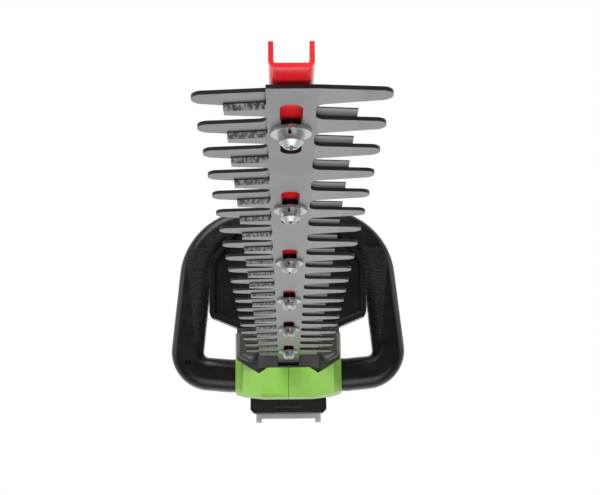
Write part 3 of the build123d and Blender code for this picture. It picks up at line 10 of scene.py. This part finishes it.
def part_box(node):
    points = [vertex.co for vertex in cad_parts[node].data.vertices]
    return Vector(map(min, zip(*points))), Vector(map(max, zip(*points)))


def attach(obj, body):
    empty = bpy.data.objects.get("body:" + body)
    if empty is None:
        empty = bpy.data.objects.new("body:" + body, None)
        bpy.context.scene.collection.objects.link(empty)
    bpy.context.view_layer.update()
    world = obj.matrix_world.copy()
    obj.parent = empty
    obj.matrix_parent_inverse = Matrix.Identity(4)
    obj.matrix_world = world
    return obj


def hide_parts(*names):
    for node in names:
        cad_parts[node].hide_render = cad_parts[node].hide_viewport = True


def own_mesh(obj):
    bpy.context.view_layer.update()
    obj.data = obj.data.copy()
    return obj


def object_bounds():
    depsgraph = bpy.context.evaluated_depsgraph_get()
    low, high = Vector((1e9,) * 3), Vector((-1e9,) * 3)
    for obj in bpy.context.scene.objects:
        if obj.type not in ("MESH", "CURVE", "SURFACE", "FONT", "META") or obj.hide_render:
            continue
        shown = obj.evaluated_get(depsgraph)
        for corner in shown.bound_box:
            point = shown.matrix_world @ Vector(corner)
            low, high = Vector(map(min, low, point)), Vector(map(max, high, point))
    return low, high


# Lengths are in metres, and a noise's scale is its number of features per metre
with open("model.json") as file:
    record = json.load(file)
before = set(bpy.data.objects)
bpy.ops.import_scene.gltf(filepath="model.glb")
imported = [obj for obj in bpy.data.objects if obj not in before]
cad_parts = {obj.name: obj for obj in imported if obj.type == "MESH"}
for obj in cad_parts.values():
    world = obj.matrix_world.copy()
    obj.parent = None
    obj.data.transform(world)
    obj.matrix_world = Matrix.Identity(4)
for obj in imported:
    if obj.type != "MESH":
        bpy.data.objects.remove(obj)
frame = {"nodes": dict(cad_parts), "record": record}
cad_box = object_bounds()
nodes = frame["nodes"]
scene = bpy.context.scene

# Part of a noise's range that clouds and worked lines are spread over
NOISE_LOW = 0.3
NOISE_HIGH = 0.7

# Moulded plastic
PLASTIC_CLOUD_SCALE = 28.0
PLASTIC_CLOUD_DETAIL = 4.0
# Reach of the painted highlight along plastic edges
HIGHLIGHT_EDGE_REACH = 0.0009
GRAIN_DETAIL = 2.0
GRAIN_DEPTH = 0.0004
SMUDGE_SCALE = 60.0
SMUDGE_DETAIL = 5.0
SMUDGE_LOW = 0.35
SMUDGE_HIGH = 0.65
SMUDGE_POLISH = 0.06
SMUDGE_DULLING = 0.07
COAT_ROUGHNESS = 0.18
SEAM_CORE = 0.0002
SEAM_RIM = 0.0005
SEAM_SHARE = 0.75
PARTED_LENGTHWISE = ("X", 0.0)
PARTED_ACROSS = ("Y", 0.063)

# Worked metal
METAL_CLOUD_SCALE = 45.0
METAL_CLOUD_DETAIL = 4.0
DIRTY_EDGE = 0.0005
LINE_DEPTH = 0.0002

# Blade sheet
WALL_LEVEL = (0.5, 0.3)
BEVEL_LEVEL = (0.985, 0.965)
BRUSH_STRETCH = (40.0, 2600.0, 40.0)
BRUSH_LOW = 0.35
BRUSH_SHARE = 0.35
BLADE_CLOUD_SCALE = 30.0
BLADE_DETAIL = 4.0
SHEET_DARK = (0.215, 0.217, 0.224)
SHEET_LIGHT = (0.265, 0.267, 0.274)
SHEET_BRUSHED = (0.34, 0.343, 0.35)
RUBBED_COLOUR = (0.35, 0.35, 0.35)
RUBBED_SHARE = 0.35
RUBBED_ROOT = (0.0108, 0.0114)
RUBBED_END = (0.0278, 0.0284)
STRIPE_STRETCH = (750.0, 230.0, 60.0)
STRIPE_DETAIL = 3.0
STRIPE_ROUGHNESS = 0.6
STRIPE_LOW = 0.42
STRIPE_HIGH = 0.64
GROUND_DARK = (0.03, 0.031, 0.034)
GROUND_LIGHT = (0.28, 0.285, 0.3)
# Painted shade: near-black laid on the blade's sheared walls
PAINTED_WALL_SHADE = (0.03, 0.027, 0.025)
WALL_ROUGHENING = 0.15
BLADE_METALLIC = 0.55
BLADE_ROUGHNESS = (0.3, 0.46)
BRUSH_RELIEF = 0.4
BLADE_RELIEF = 0.35
BLADE_RELIEF_DEPTH = 0.00025

# Coil springs
SPRING_PITCH = 0.0017
SPRING_WIRE = 0.0008
STEPS_PER_TURN = 24
WIRE_SIDES = 8

# Pimples, each a low dome given by shares of its radius and height
PIMPLE_PITCH = 0.0033
PIMPLE_PROFILE = ((1.0, -0.3), (0.96, 0.35), (0.62, 0.85))
PIMPLE_SIDES = 10
PIMPLE_STEEPEST = -0.2
LOOP_PIMPLE_RADIUS = 0.0012
LOOP_PIMPLE_HEIGHT = 0.0005
LOOP_ROWS = 62
LOOP_COLUMNS = 9
LOOP_FIRST_Z = 0.0675
LOOP_SIDE_X = 0.0902
LOOP_SIDE_LEAN = 0.112
LOOP_AIM_Y = -0.1
GRIP_PIMPLE_RADIUS = 0.00095
GRIP_PIMPLE_HEIGHT = 0.00038
GRIP_ROWS = 13
GRIP_COLUMNS = 18
GRIP_FIRST_Y = 0.176
GRIP_FIRST_Z = 0.1255
GRIP_AIM_X = 0.1

# Finger ribs on the battery's flanks
PACK_RIBS = 7
PACK_RIB_PITCH = 0.0055
PACK_RIB_HALF_WIDTH = 0.0011
PACK_RIB_PROUD = 0.0008
PACK_RIB_FROM_REAR = 0.046
PACK_RIB_BOTTOM = 0.006
PACK_RIB_TOP = 0.024
PACK_RIB_ROUND = 0.0005

# Finger ribs on the lock button
LOCK_RIBS = 5
LOCK_RIB_PITCH = 0.0032
LOCK_RIB_MARGIN = 0.0035
LOCK_RIB_FRONT = 0.0045
LOCK_RIB_REAR = 0.0060
LOCK_RIB_SUNK = 0.0005
LOCK_RIB_PROUD = 0.0006
LOCK_RIB_ROUND = 0.0004

# Trim on the front of the battery bay wall
WALL_Y = 0.142
TRIM_SUNK = 0.0004
TRIM_ROUND = 0.0003
SILL_LEFT = -0.0165
SILL_RIGHT = 0.0155
SILL_BOTTOM = 0.0067
SILL_TOP = 0.0076
SILL_PROUD = 0.0011
WALL_RIBS = 4
WALL_RIB_FIRST = 0.0215
WALL_RIB_PITCH = 0.0032
WALL_RIB_HALF_WIDTH = 0.0008
WALL_RIB_PROUD = 0.0009
WALL_RIB_BOTTOM = 0.0023
WALL_RIB_TOP = 0.0053

# Floor and studio
FLOOR_SIZE = 30.0
FLOOR_COLOUR = (0.9, 0.9, 0.9, 1)
FLOOR_ROUGHNESS = 0.6
SOFT_HEIGHT = (-0.8, 0.6)
SOFT_STRENGTH = (0.22, 0.55)
MIRRORED_DEPTH = (-0.5, 0.6)
MIRRORED_STRENGTH = (0.07, 1.0)

# Camera fitted to the photograph's teeth, screws and handle
PITCH, ROLL, YAW = -0.25628, -0.009, -0.01467
FOCAL_PX, WIDTH_PX = 1100.0, 600.0
SENSOR_MM = 36.0
CAMERA_PLACE = (-0.0036, -1.10826, -0.13388)


def new_material(name):
    """A node material with its tree, a Principled shader and the object's own coordinates."""
    mat = bpy.data.materials.new(name)
    mat.use_nodes = True
    tree = mat.node_tree
    tree.nodes.clear()
    out = tree.nodes.new("ShaderNodeOutputMaterial")
    bsdf = tree.nodes.new("ShaderNodeBsdfPrincipled")
    tree.links.new(bsdf.outputs["BSDF"], out.inputs["Surface"])
    coords = tree.nodes.new("ShaderNodeTexCoord").outputs["Object"]
    return mat, tree, bsdf, coords


def noise(tree, coords, scale, detail=3.0, stretch=(1, 1, 1), roughness=0.5):
    """Noise over the object's coordinates, finer along an axis by its stretch."""
    mapping = tree.nodes.new("ShaderNodeMapping")
    mapping.inputs["Scale"].default_value = stretch
    tree.links.new(coords, mapping.inputs["Vector"])
    tex = tree.nodes.new("ShaderNodeTexNoise")
    tex.inputs["Scale"].default_value = scale
    tex.inputs["Detail"].default_value = detail
    tex.inputs["Roughness"].default_value = roughness
    tree.links.new(mapping.outputs["Vector"], tex.inputs["Vector"])
    return tex.outputs["Fac"]


def remap(tree, value, low, high, to_low=0.0, to_high=1.0):
    """A value stretched from one range to another and clamped there."""
    node = tree.nodes.new("ShaderNodeMapRange")
    node.inputs["From Min"].default_value = low
    node.inputs["From Max"].default_value = high
    node.inputs["To Min"].default_value = to_low
    node.inputs["To Max"].default_value = to_high
    tree.links.new(value, node.inputs["Value"])
    return node.outputs["Result"]


def math_node(tree, operation, a, b=None):
    """One arithmetic step on sockets or numbers."""
    node = tree.nodes.new("ShaderNodeMath")
    node.operation = operation
    for index, item in enumerate((a, b)):
        if item is None:
            continue
        if isinstance(item, (int, float)):
            node.inputs[index].default_value = item
        else:
            tree.links.new(item, node.inputs[index])
    return node.outputs["Value"]


def mix_colour(tree, factor, a, b):
    """A colour between two colours or colour sockets, by a factor socket."""
    node = tree.nodes.new("ShaderNodeMix")
    node.data_type = "RGBA"
    tree.links.new(factor, node.inputs["Factor"])
    for key, item in (("A", a), ("B", b)):
        socket = [s for s in node.inputs if s.name == key and s.type == "RGBA"][0]
        if isinstance(item, tuple):
            socket.default_value = (*item, 1.0)
        else:
            tree.links.new(item, socket)
    return [s for s in node.outputs if s.type == "RGBA"][0]


def shade(colour, factor, lift=0.0):
    """A colour made darker or lighter."""
    return tuple(min(1.0, c * factor + lift) for c in colour)


def add_bump(tree, bsdf, height, strength, distance):
    """Relief on the shader's normal."""
    bump = tree.nodes.new("ShaderNodeBump")
    bump.inputs["Strength"].default_value = strength
    bump.inputs["Distance"].default_value = distance
    tree.links.new(height, bump.inputs["Height"])
    tree.links.new(bump.outputs["Normal"], bsdf.inputs["Normal"])


def edge_nearness(tree, radius):
    """How near a point lies to an edge, from how far a rounded normal leans away from the true one."""
    bevel = tree.nodes.new("ShaderNodeBevel")
    bevel.samples = 4
    bevel.inputs["Radius"].default_value = radius
    geometry = tree.nodes.new("ShaderNodeNewGeometry")
    dot = tree.nodes.new("ShaderNodeVectorMath")
    dot.operation = "DOT_PRODUCT"
    tree.links.new(bevel.outputs["Normal"], dot.inputs[0])
    tree.links.new(geometry.outputs["Normal"], dot.inputs[1])
    return remap(tree, dot.outputs["Value"], 1.0, 0.85)


def axis_value(tree, vector, axis):
    """One component of a vector socket."""
    split = tree.nodes.new("ShaderNodeSeparateXYZ")
    tree.links.new(vector, split.inputs["Vector"])
    return split.outputs[axis]


def seam_line(tree, coords, axis, place):
    """A parting line where two mouldings meet in the plane axis = place."""
    offset = math_node(tree, "SUBTRACT", axis_value(tree, coords, axis), place)
    return remap(tree, math_node(tree, "ABSOLUTE", offset), SEAM_CORE, SEAM_RIM, 1.0, 0.0)


def plastic(name, colour, rough, grain_scale, grain, edge_highlight, coat=0.0, seam=None):
    """Moulded plastic: fine grain, cloudy colour and edges lightened as painted highlight, with a seam
    where it is parted.
    """
    mat, tree, bsdf, coords = new_material(name)
    cloud = noise(tree, coords, PLASTIC_CLOUD_SCALE, PLASTIC_CLOUD_DETAIL)
    tint = mix_colour(tree, remap(tree, cloud, NOISE_LOW, NOISE_HIGH),
                      shade(colour, 0.88), shade(colour, 1.12, 0.002))
    # Edges lightened in colour as painted highlight
    highlight_mask = math_node(tree, "MULTIPLY", edge_nearness(tree, HIGHLIGHT_EDGE_REACH), edge_highlight)
    tint = mix_colour(tree, highlight_mask, tint, shade(colour, 1.6, 0.03))
    height = math_node(tree, "MULTIPLY", noise(tree, coords, grain_scale, GRAIN_DETAIL), grain)
    smudge = noise(tree, coords, SMUDGE_SCALE, SMUDGE_DETAIL)
    if seam:
        line = seam_line(tree, coords, *seam)
        tint = mix_colour(tree, math_node(tree, "MULTIPLY", line, SEAM_SHARE), tint, shade(colour, 0.15))
        height = math_node(tree, "SUBTRACT", height, line)
    tree.links.new(tint, bsdf.inputs["Base Color"])
    finish = remap(tree, smudge, SMUDGE_LOW, SMUDGE_HIGH, rough - SMUDGE_POLISH, rough + SMUDGE_DULLING)
    tree.links.new(finish, bsdf.inputs["Roughness"])
    bsdf.inputs["Coat Weight"].default_value = coat
    bsdf.inputs["Coat Roughness"].default_value = COAT_ROUGHNESS
    add_bump(tree, bsdf, height, 1.0, GRAIN_DEPTH)
    return mat


def metal(name, colour, rough, line_scale, relief, stretch=(1, 1, 1), spread=0.12, dirt=0.0):
    """Worked metal with lines from its working and edges that catch dirt."""
    mat, tree, bsdf, coords = new_material(name)
    lines = noise(tree, coords, line_scale, stretch=stretch)
    cloud = noise(tree, coords, METAL_CLOUD_SCALE, METAL_CLOUD_DETAIL)
    tone = mix_colour(tree, remap(tree, cloud, NOISE_LOW, NOISE_HIGH),
                      shade(colour, 0.86), shade(colour, 1.1))
    if dirt:
        rim = math_node(tree, "MULTIPLY", edge_nearness(tree, DIRTY_EDGE), dirt)
        tone = mix_colour(tree, rim, tone, shade(colour, 0.12))
    tree.links.new(tone, bsdf.inputs["Base Color"])
    bsdf.inputs["Metallic"].default_value = 1.0
    finish = remap(tree, lines, NOISE_LOW, NOISE_HIGH, rough - spread, rough + spread)
    tree.links.new(finish, bsdf.inputs["Roughness"])
    add_bump(tree, bsdf, lines, relief, LINE_DEPTH)
    return mat


def blade_steel():
    """Blade sheet: brushed faces, cutter bevels with coarse grinding stripes, sheared walls darkened to
    near black with painted shade.
    """
    mat, tree, bsdf, coords = new_material("blade_steel")
    geometry = tree.nodes.new("ShaderNodeNewGeometry")
    level = math_node(tree, "ABSOLUTE", axis_value(tree, geometry.outputs["True Normal"], "Z"))
    wall = remap(tree, level, *WALL_LEVEL)
    bevel = remap(tree, level, *BEVEL_LEVEL)
    brushed = noise(tree, coords, 1.0, BLADE_DETAIL, BRUSH_STRETCH)
    cloud = noise(tree, coords, BLADE_CLOUD_SCALE, BLADE_DETAIL)
    tone = mix_colour(tree, remap(tree, cloud, NOISE_LOW, NOISE_HIGH), SHEET_DARK, SHEET_LIGHT)
    brush = remap(tree, brushed, BRUSH_LOW, NOISE_HIGH, 0.0, BRUSH_SHARE)
    tone = mix_colour(tree, brush, tone, SHEET_BRUSHED)
    # Rubbed band on the long fingers, as far out as the other blade's cutters reach
    across = math_node(tree, "ABSOLUTE", axis_value(tree, coords, "X"))
    band = math_node(tree, "MULTIPLY", remap(tree, across, *RUBBED_END, 1.0, 0.0),
                     remap(tree, across, *RUBBED_ROOT))
    tone = mix_colour(tree, math_node(tree, "MULTIPLY", band, RUBBED_SHARE), tone, RUBBED_COLOUR)
    stripes = noise(tree, coords, 1.0, STRIPE_DETAIL, STRIPE_STRETCH, STRIPE_ROUGHNESS)
    ground = mix_colour(tree, remap(tree, stripes, STRIPE_LOW, STRIPE_HIGH), GROUND_DARK, GROUND_LIGHT)
    tone = mix_colour(tree, bevel, tone, ground)
    # The sheared walls get painted shade, near black
    tone = mix_colour(tree, wall, tone, PAINTED_WALL_SHADE)
    tree.links.new(tone, bsdf.inputs["Base Color"])
    bsdf.inputs["Metallic"].default_value = BLADE_METALLIC
    finish = math_node(tree, "ADD", remap(tree, brushed, NOISE_LOW, NOISE_HIGH, *BLADE_ROUGHNESS),
                       math_node(tree, "MULTIPLY", wall, WALL_ROUGHENING))
    tree.links.new(finish, bsdf.inputs["Roughness"])
    height = math_node(tree, "ADD", math_node(tree, "MULTIPLY", brushed, BRUSH_RELIEF),
                       math_node(tree, "MULTIPLY", stripes, bevel))
    add_bump(tree, bsdf, height, BLADE_RELIEF, BLADE_RELIEF_DEPTH)
    return mat


materials = {
    "blade_steel": blade_steel(),
    "red_paint": plastic("red_paint", (0.98, 0.018, 0.024), rough=0.3,
                         grain_scale=320.0, grain=0.05, edge_highlight=0.1, coat=0.6),
    "zinc": metal("zinc", (0.55, 0.57, 0.57), rough=0.4,
                  line_scale=900.0, relief=0.02, spread=0.05, dirt=0.6),
    "black_oxide": metal("black_oxide", (0.03, 0.03, 0.032), rough=0.4, line_scale=600.0, relief=0.1),
    "cast_alloy": metal("cast_alloy", (0.4, 0.41, 0.42), rough=0.5, line_scale=500.0, relief=0.4),
    "bearing_steel": metal("bearing_steel", (0.55, 0.55, 0.57), rough=0.25, line_scale=800.0, relief=0.05),
    "gear_steel": metal("gear_steel", (0.38, 0.38, 0.39), rough=0.35, line_scale=900.0, relief=0.1),
    "motor_iron": metal("motor_iron", (0.22, 0.22, 0.24), rough=0.45,
                        line_scale=1200.0, relief=0.3, stretch=(0.2, 0.2, 1)),
    "green_plastic": plastic("green_plastic", (0.31, 0.64, 0.095), rough=0.36,
                             grain_scale=1400.0, grain=0.12, edge_highlight=0.2, seam=PARTED_LENGTHWISE),
    "gloss_black": plastic("gloss_black", (0.007, 0.007, 0.0075), rough=0.22,
                           grain_scale=1300.0, grain=0.1, edge_highlight=0.5),
    "grip_black": plastic("grip_black", (0.004, 0.004, 0.004), rough=0.3,
                          grain_scale=1100.0, grain=0.3, edge_highlight=0.3, seam=PARTED_ACROSS),
    "black_plastic": plastic("black_plastic", (0.01, 0.01, 0.0105), rough=0.4,
                             grain_scale=1200.0, grain=0.25, edge_highlight=0.3),
    "grey_plastic": plastic("grey_plastic", (0.53, 0.535, 0.56), rough=0.42,
                            grain_scale=1200.0, grain=0.2, edge_highlight=0.3),
    "board": plastic("board", (0.02, 0.17, 0.05), rough=0.35, grain_scale=900.0, grain=0.1, edge_highlight=0.1),
    "brass": metal("brass", (0.7, 0.48, 0.18), rough=0.3, line_scale=700.0, relief=0.05),
    "cell_wrap": plastic("cell_wrap", (0.05, 0.16, 0.4), rough=0.3,
                         grain_scale=500.0, grain=0.05, edge_highlight=0.1),
    "spring_steel": metal("spring_steel", (0.5, 0.5, 0.52), rough=0.3, line_scale=800.0, relief=0.05),
}
body_black = plastic("body_black", (0.0035, 0.0036, 0.0035), rough=0.4,
                     grain_scale=1200.0, grain=0.25, edge_highlight=0.3, seam=PARTED_LENGTHWISE)
bumper_black = plastic("bumper_black", (0.05, 0.05, 0.051), rough=0.3,
                       grain_scale=1300.0, grain=0.06, edge_highlight=0.3, coat=0.5)
node_materials = {"body_left": body_black, "body_right": body_black, "front_bumper": bumper_black}
slot_of = {row["node"]: row["material_slot"] for row in frame["record"]["subparts"]}
for node_name, obj in nodes.items():
    obj.data.materials.clear()
    obj.data.materials.append(node_materials.get(node_name, materials[slot_of[node_name]]))


def mesh_object(name, bm):
    """An object of the scene made from a finished bmesh, which is freed."""
    mesh = bpy.data.meshes.new(name)
    bm.to_mesh(mesh)
    bm.free()
    obj = bpy.data.objects.new(name, mesh)
    scene.collection.objects.link(obj)
    return obj


def circle(sides):
    """Cosine and sine of each corner of a regular polygon."""
    angles = [2 * math.pi * k / sides for k in range(sides)]
    return [(math.cos(angle), math.sin(angle)) for angle in angles]


def join_rings(bm, rings):
    """Faces between each ring of corners and the next."""
    faces = []
    for low, high in zip(rings, rings[1:]):
        for k in range(len(low)):
            after = (k + 1) % len(low)
            faces.append(bm.faces.new((low[k], low[after], high[after], high[k])))
    return faces


def bar_mesh(name, boxes, round_by):
    """One mesh of rounded bars, each given by its lowest and highest corner."""
    bm = bmesh.new()
    for low, high in boxes:
        size = [b - a for a, b in zip(low, high)]
        middle = [(a + b) / 2 for a, b in zip(low, high)]
        placing = Matrix.Translation(middle) @ Matrix.Diagonal((*size, 1.0))
        made = bmesh.ops.create_cube(bm, size=1.0, matrix=placing)
        edges = list({e for v in made["verts"] for e in v.link_edges})
        bmesh.ops.bevel(bm, geom=edges, offset=round_by, segments=2, affect="EDGES")
    return mesh_object(name, bm)


def pimples(name, node, spots, towards, radius, height):
    """Low round pimples seated on a node's surface, where lines from the spots meet it."""
    surface = BVHTree.FromPolygons([v.co for v in nodes[node].data.vertices],
                                   [p.vertices for p in nodes[node].data.polygons])
    bm = bmesh.new()
    for spot in spots:
        place, normal, _, _ = surface.ray_cast(Vector(spot), Vector(towards))
        if place is None or normal.dot(Vector(towards)) > PIMPLE_STEEPEST:
            continue
        turn = normal.to_track_quat("Z", "Y").to_matrix()
        rings = []
        for share, level in PIMPLE_PROFILE:
            corners = [Vector((radius * share * c, radius * share * s, height * level))
                       for c, s in circle(PIMPLE_SIDES)]
            rings.append([bm.verts.new(place + turn @ corner) for corner in corners])
        top = bm.verts.new(place + normal * height)
        join_rings(bm, rings)
        for k in range(PIMPLE_SIDES):
            bm.faces.new((rings[-1][k], rings[-1][(k + 1) % PIMPLE_SIDES], top))
        bm.faces.new(list(reversed(rings[0])))
    for face in bm.faces:
        face.smooth = len(face.verts) < PIMPLE_SIDES
    return mesh_object(name, bm)


def coil_spring(node):
    """A round-wire compression spring in the space that a node's sleeve holds."""
    low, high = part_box(node)
    centre = (Vector(low) + Vector(high)) / 2
    radius = (high[0] - low[0] - SPRING_WIRE) / 2
    rise = high[2] - low[2] - SPRING_WIRE
    steps = round(rise / SPRING_PITCH * STEPS_PER_TURN)
    bm = bmesh.new()
    rings = []
    for i in range(steps + 1):
        turn = 2 * math.pi * i / STEPS_PER_TURN
        outward = Vector((math.cos(turn), math.sin(turn), 0.0))
        level = low[2] + SPRING_WIRE / 2 + rise * i / steps
        middle = Vector((centre.x, centre.y, level)) + outward * radius
        rings.append([bm.verts.new(middle + (outward * c + Vector((0, 0, s))) * SPRING_WIRE / 2)
                      for c, s in circle(WIRE_SIDES)])
    for face in join_rings(bm, rings):
        face.smooth = True
    bm.faces.new(rings[0])
    bm.faces.new(list(reversed(rings[-1])))
    bmesh.ops.recalc_face_normals(bm, faces=bm.faces)
    return mesh_object(node + "_coil", bm)


# Coil springs behind the trigger, the lock button and the latch, in place of their parts
for node, body, joint, top_fixed, keep in (
        ("trigger_spring", "housing", "trigger_squeeze", True, 0.28),
        ("lock_spring", "housing", "lock_press", False, 0.3),
        ("latch_spring", "battery", "latch_press", False, 0.1)):
    spring = coil_spring(node)
    spring.data.materials.append(materials["spring_steel"])
    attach(spring, body)
    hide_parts(node)
    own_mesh(spring)


def staggered(column, row):
    """How far along its row a pimple stands, every other row being half a pitch on."""
    return (column + 0.5 * (row % 2)) * PIMPLE_PITCH


# Pimpled zones on the inner front of both sides of the loop handle
loop_spots = []
for row in range(LOOP_ROWS):
    z = LOOP_FIRST_Z + row * PIMPLE_PITCH * 0.5
    outer = LOOP_SIDE_X + LOOP_SIDE_LEAN * z
    for column in range(LOOP_COLUMNS):
        x = outer - staggered(column, row)
        loop_spots += [(x, LOOP_AIM_Y, z), (-x, LOOP_AIM_Y, z)]
loop_pimples = pimples("loop_grip_pimples", "loop_handle_front", loop_spots, (0, 1, 0),
                       LOOP_PIMPLE_RADIUS, LOOP_PIMPLE_HEIGHT)
loop_pimples.data.materials.append(materials["grip_black"])
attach(loop_pimples, "housing")

# Pimples on both sides of the rear grip
for side, node in ((-1, "body_left"), (1, "body_right")):
    grip_spots = [
        (side * GRIP_AIM_X, GRIP_FIRST_Y + staggered(column, row), GRIP_FIRST_Z + row * PIMPLE_PITCH * 0.5)
        for row in range(GRIP_ROWS) for column in range(GRIP_COLUMNS)]
    grip = pimples("rear_" + node + "_pimples", node, grip_spots, (-side, 0, 0),
                   GRIP_PIMPLE_RADIUS, GRIP_PIMPLE_HEIGHT)
    grip.data.materials.append(materials["black_plastic"])
    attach(grip, "housing")

# Finger ribs on both flanks of the battery and on top of the lock button
pack_low, pack_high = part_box("battery_case")
pack_boxes = []
for flank in (pack_low[0], pack_high[0]):
    for i in range(PACK_RIBS):
        y = pack_high[1] - PACK_RIB_FROM_REAR + PACK_RIB_PITCH * i
        pack_boxes.append((
            (flank - PACK_RIB_PROUD, y - PACK_RIB_HALF_WIDTH, pack_low[2] + PACK_RIB_BOTTOM),
            (flank + PACK_RIB_PROUD, y + PACK_RIB_HALF_WIDTH, pack_low[2] + PACK_RIB_TOP)))
battery_ribs = bar_mesh("battery_ribs", pack_boxes, PACK_RIB_ROUND)
lock_low, lock_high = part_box("lock_button")
lock_boxes = []
for i in range(LOCK_RIBS):
    front = lock_low[1] + LOCK_RIB_FRONT + LOCK_RIB_PITCH * i
    rear = lock_low[1] + LOCK_RIB_REAR + LOCK_RIB_PITCH * i
    lock_boxes.append((
        (lock_low[0] + LOCK_RIB_MARGIN, front, lock_high[2] - LOCK_RIB_SUNK),
        (lock_high[0] - LOCK_RIB_MARGIN, rear, lock_high[2] + LOCK_RIB_PROUD)))
lock_ribs = bar_mesh("lock_button_ribs", lock_boxes, LOCK_RIB_ROUND)
for piece, slot_name, body in (
        (battery_ribs, "black_plastic", "battery"),
        (lock_ribs, "green_plastic", "lock_button")):
    piece.data.materials.append(materials[slot_name])
    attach(piece, body)

# Sill and ribs on the front of the battery bay wall
sill_box = ((SILL_LEFT, WALL_Y - SILL_PROUD, SILL_BOTTOM), (SILL_RIGHT, WALL_Y + TRIM_SUNK, SILL_TOP))
sill = bar_mesh("bay_wall_sill", [sill_box], TRIM_ROUND)
wall_boxes = []
for side in (1, -1):
    for i in range(WALL_RIBS):
        x = side * (WALL_RIB_FIRST + WALL_RIB_PITCH * i)
        wall_boxes.append((
            (x - WALL_RIB_HALF_WIDTH, WALL_Y - WALL_RIB_PROUD, WALL_RIB_BOTTOM),
            (x + WALL_RIB_HALF_WIDTH, WALL_Y + TRIM_SUNK, WALL_RIB_TOP)))
wall_ribs = bar_mesh("bay_wall_ribs", wall_boxes, TRIM_ROUND)
for piece, finish in ((sill, bumper_black), (wall_ribs, materials["black_plastic"])):
    piece.data.materials.append(finish)
    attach(piece, "housing")

# Floor that only a camera above it sees, so that all other light and a view from below pass through
bpy.ops.mesh.primitive_plane_add(size=FLOOR_SIZE, location=(0, 0, cad_box[0][2]))
floor = bpy.context.object
floor.name = "floor"
floor_mat, floor_tree, floor_bsdf, _ = new_material("floor")
floor.data.materials.append(floor_mat)
floor_bsdf.inputs["Base Color"].default_value = FLOOR_COLOUR
floor_bsdf.inputs["Roughness"].default_value = FLOOR_ROUGHNESS
floor_out = [n for n in floor_tree.nodes if n.type == "OUTPUT_MATERIAL"][0]
floor_path = floor_tree.nodes.new("ShaderNodeLightPath")
floor_face = floor_tree.nodes.new("ShaderNodeNewGeometry")
clear = floor_tree.nodes.new("ShaderNodeBsdfTransparent")
front_side = math_node(floor_tree, "SUBTRACT", 1.0, floor_face.outputs["Backfacing"])
shown = math_node(floor_tree, "MULTIPLY", floor_path.outputs["Is Camera Ray"], front_side)


def choose(tree, factor, a, b):
    """Shader b where the factor is 1, and a elsewhere."""
    node = tree.nodes.new("ShaderNodeMixShader")
    tree.links.new(factor, node.inputs["Fac"])
    tree.links.new(a, node.inputs[1])
    tree.links.new(b, node.inputs[2])
    return node.outputs["Shader"]


floor_shader = choose(floor_tree, shown, clear.outputs["BSDF"], floor_bsdf.outputs["BSDF"])
floor_tree.links.new(floor_shader, floor_out.inputs["Surface"])

# World: white to the camera, a soft studio to everything else
world = bpy.data.worlds.new("studio")
scene.world = world
world.use_nodes = True
sky = world.node_tree
sky.nodes.clear()
sky_out = sky.nodes.new("ShaderNodeOutputWorld")
sky_path = sky.nodes.new("ShaderNodeLightPath")
direction = sky.nodes.new("ShaderNodeTexCoord").outputs["Generated"]


def background(strength=None):
    """A white world shader at full strength, or at the strength of a socket."""
    node = sky.nodes.new("ShaderNodeBackground")
    node.inputs["Color"].default_value = (1, 1, 1, 1)
    node.inputs["Strength"].default_value = 1.0
    if strength is not None:
        sky.links.new(strength, node.inputs["Strength"])
    return node.outputs["Background"]


soft = background(remap(sky, axis_value(sky, direction, "Z"), *SOFT_HEIGHT, *SOFT_STRENGTH))
mirrored = background(remap(sky, axis_value(sky, direction, "Y"), *MIRRORED_DEPTH, *MIRRORED_STRENGTH))
studio = choose(sky, sky_path.outputs["Is Glossy Ray"], soft, mirrored)
studio = choose(sky, sky_path.outputs["Is Camera Ray"], studio, background())
sky.links.new(studio, sky_out.inputs["Surface"])


def area_light(name, place, target, size, power):
    """A square soft box aimed at a point."""
    data = bpy.data.lights.new(name, "AREA")
    data.energy = power
    data.size = size
    lamp = bpy.data.objects.new(name, data)
    scene.collection.objects.link(lamp)
    lamp.location = place
    lamp.rotation_euler = (Vector(target) - Vector(place)).to_track_quat("-Z", "Y").to_euler()


area_light("key", place=(-0.5, -1.2, 1.6), target=(0, -0.1, 0.1), size=1.2, power=22.0)
area_light("under", place=(0.1, -1.3, -1.0), target=(0, -0.2, 0.05), size=1.6, power=16.0)
area_light("left", place=(-1.6, -0.3, 0.5), target=(0, 0, 0.1), size=0.8, power=2.5)
area_light("right", place=(1.6, -0.3, 0.6), target=(0, 0, 0.1), size=0.8, power=2.5)

# Camera in front of the blade tip and below it
rotation = Matrix.Rotation(ROLL, 3, "Z") @ Matrix.Rotation(YAW, 3, "Y") @ Matrix.Rotation(PITCH, 3, "X")
rows = rotation @ Matrix(((1, 0, 0), (0, 0, -1), (0, 1, 0)))
cam_data = bpy.data.cameras.new("camera")
cam_data.sensor_width = SENSOR_MM
cam_data.lens = FOCAL_PX / WIDTH_PX * SENSOR_MM
camera = bpy.data.objects.new("camera", cam_data)
scene.collection.objects.link(camera)
right, up, back = Vector(rows[0]), -Vector(rows[1]), -Vector(rows[2])
facing = Matrix((right, up, back)).transposed().to_4x4()
camera.matrix_world = Matrix.Translation(CAMERA_PLACE) @ facing
scene.camera = camera

scene.view_settings.view_transform = "Standard"
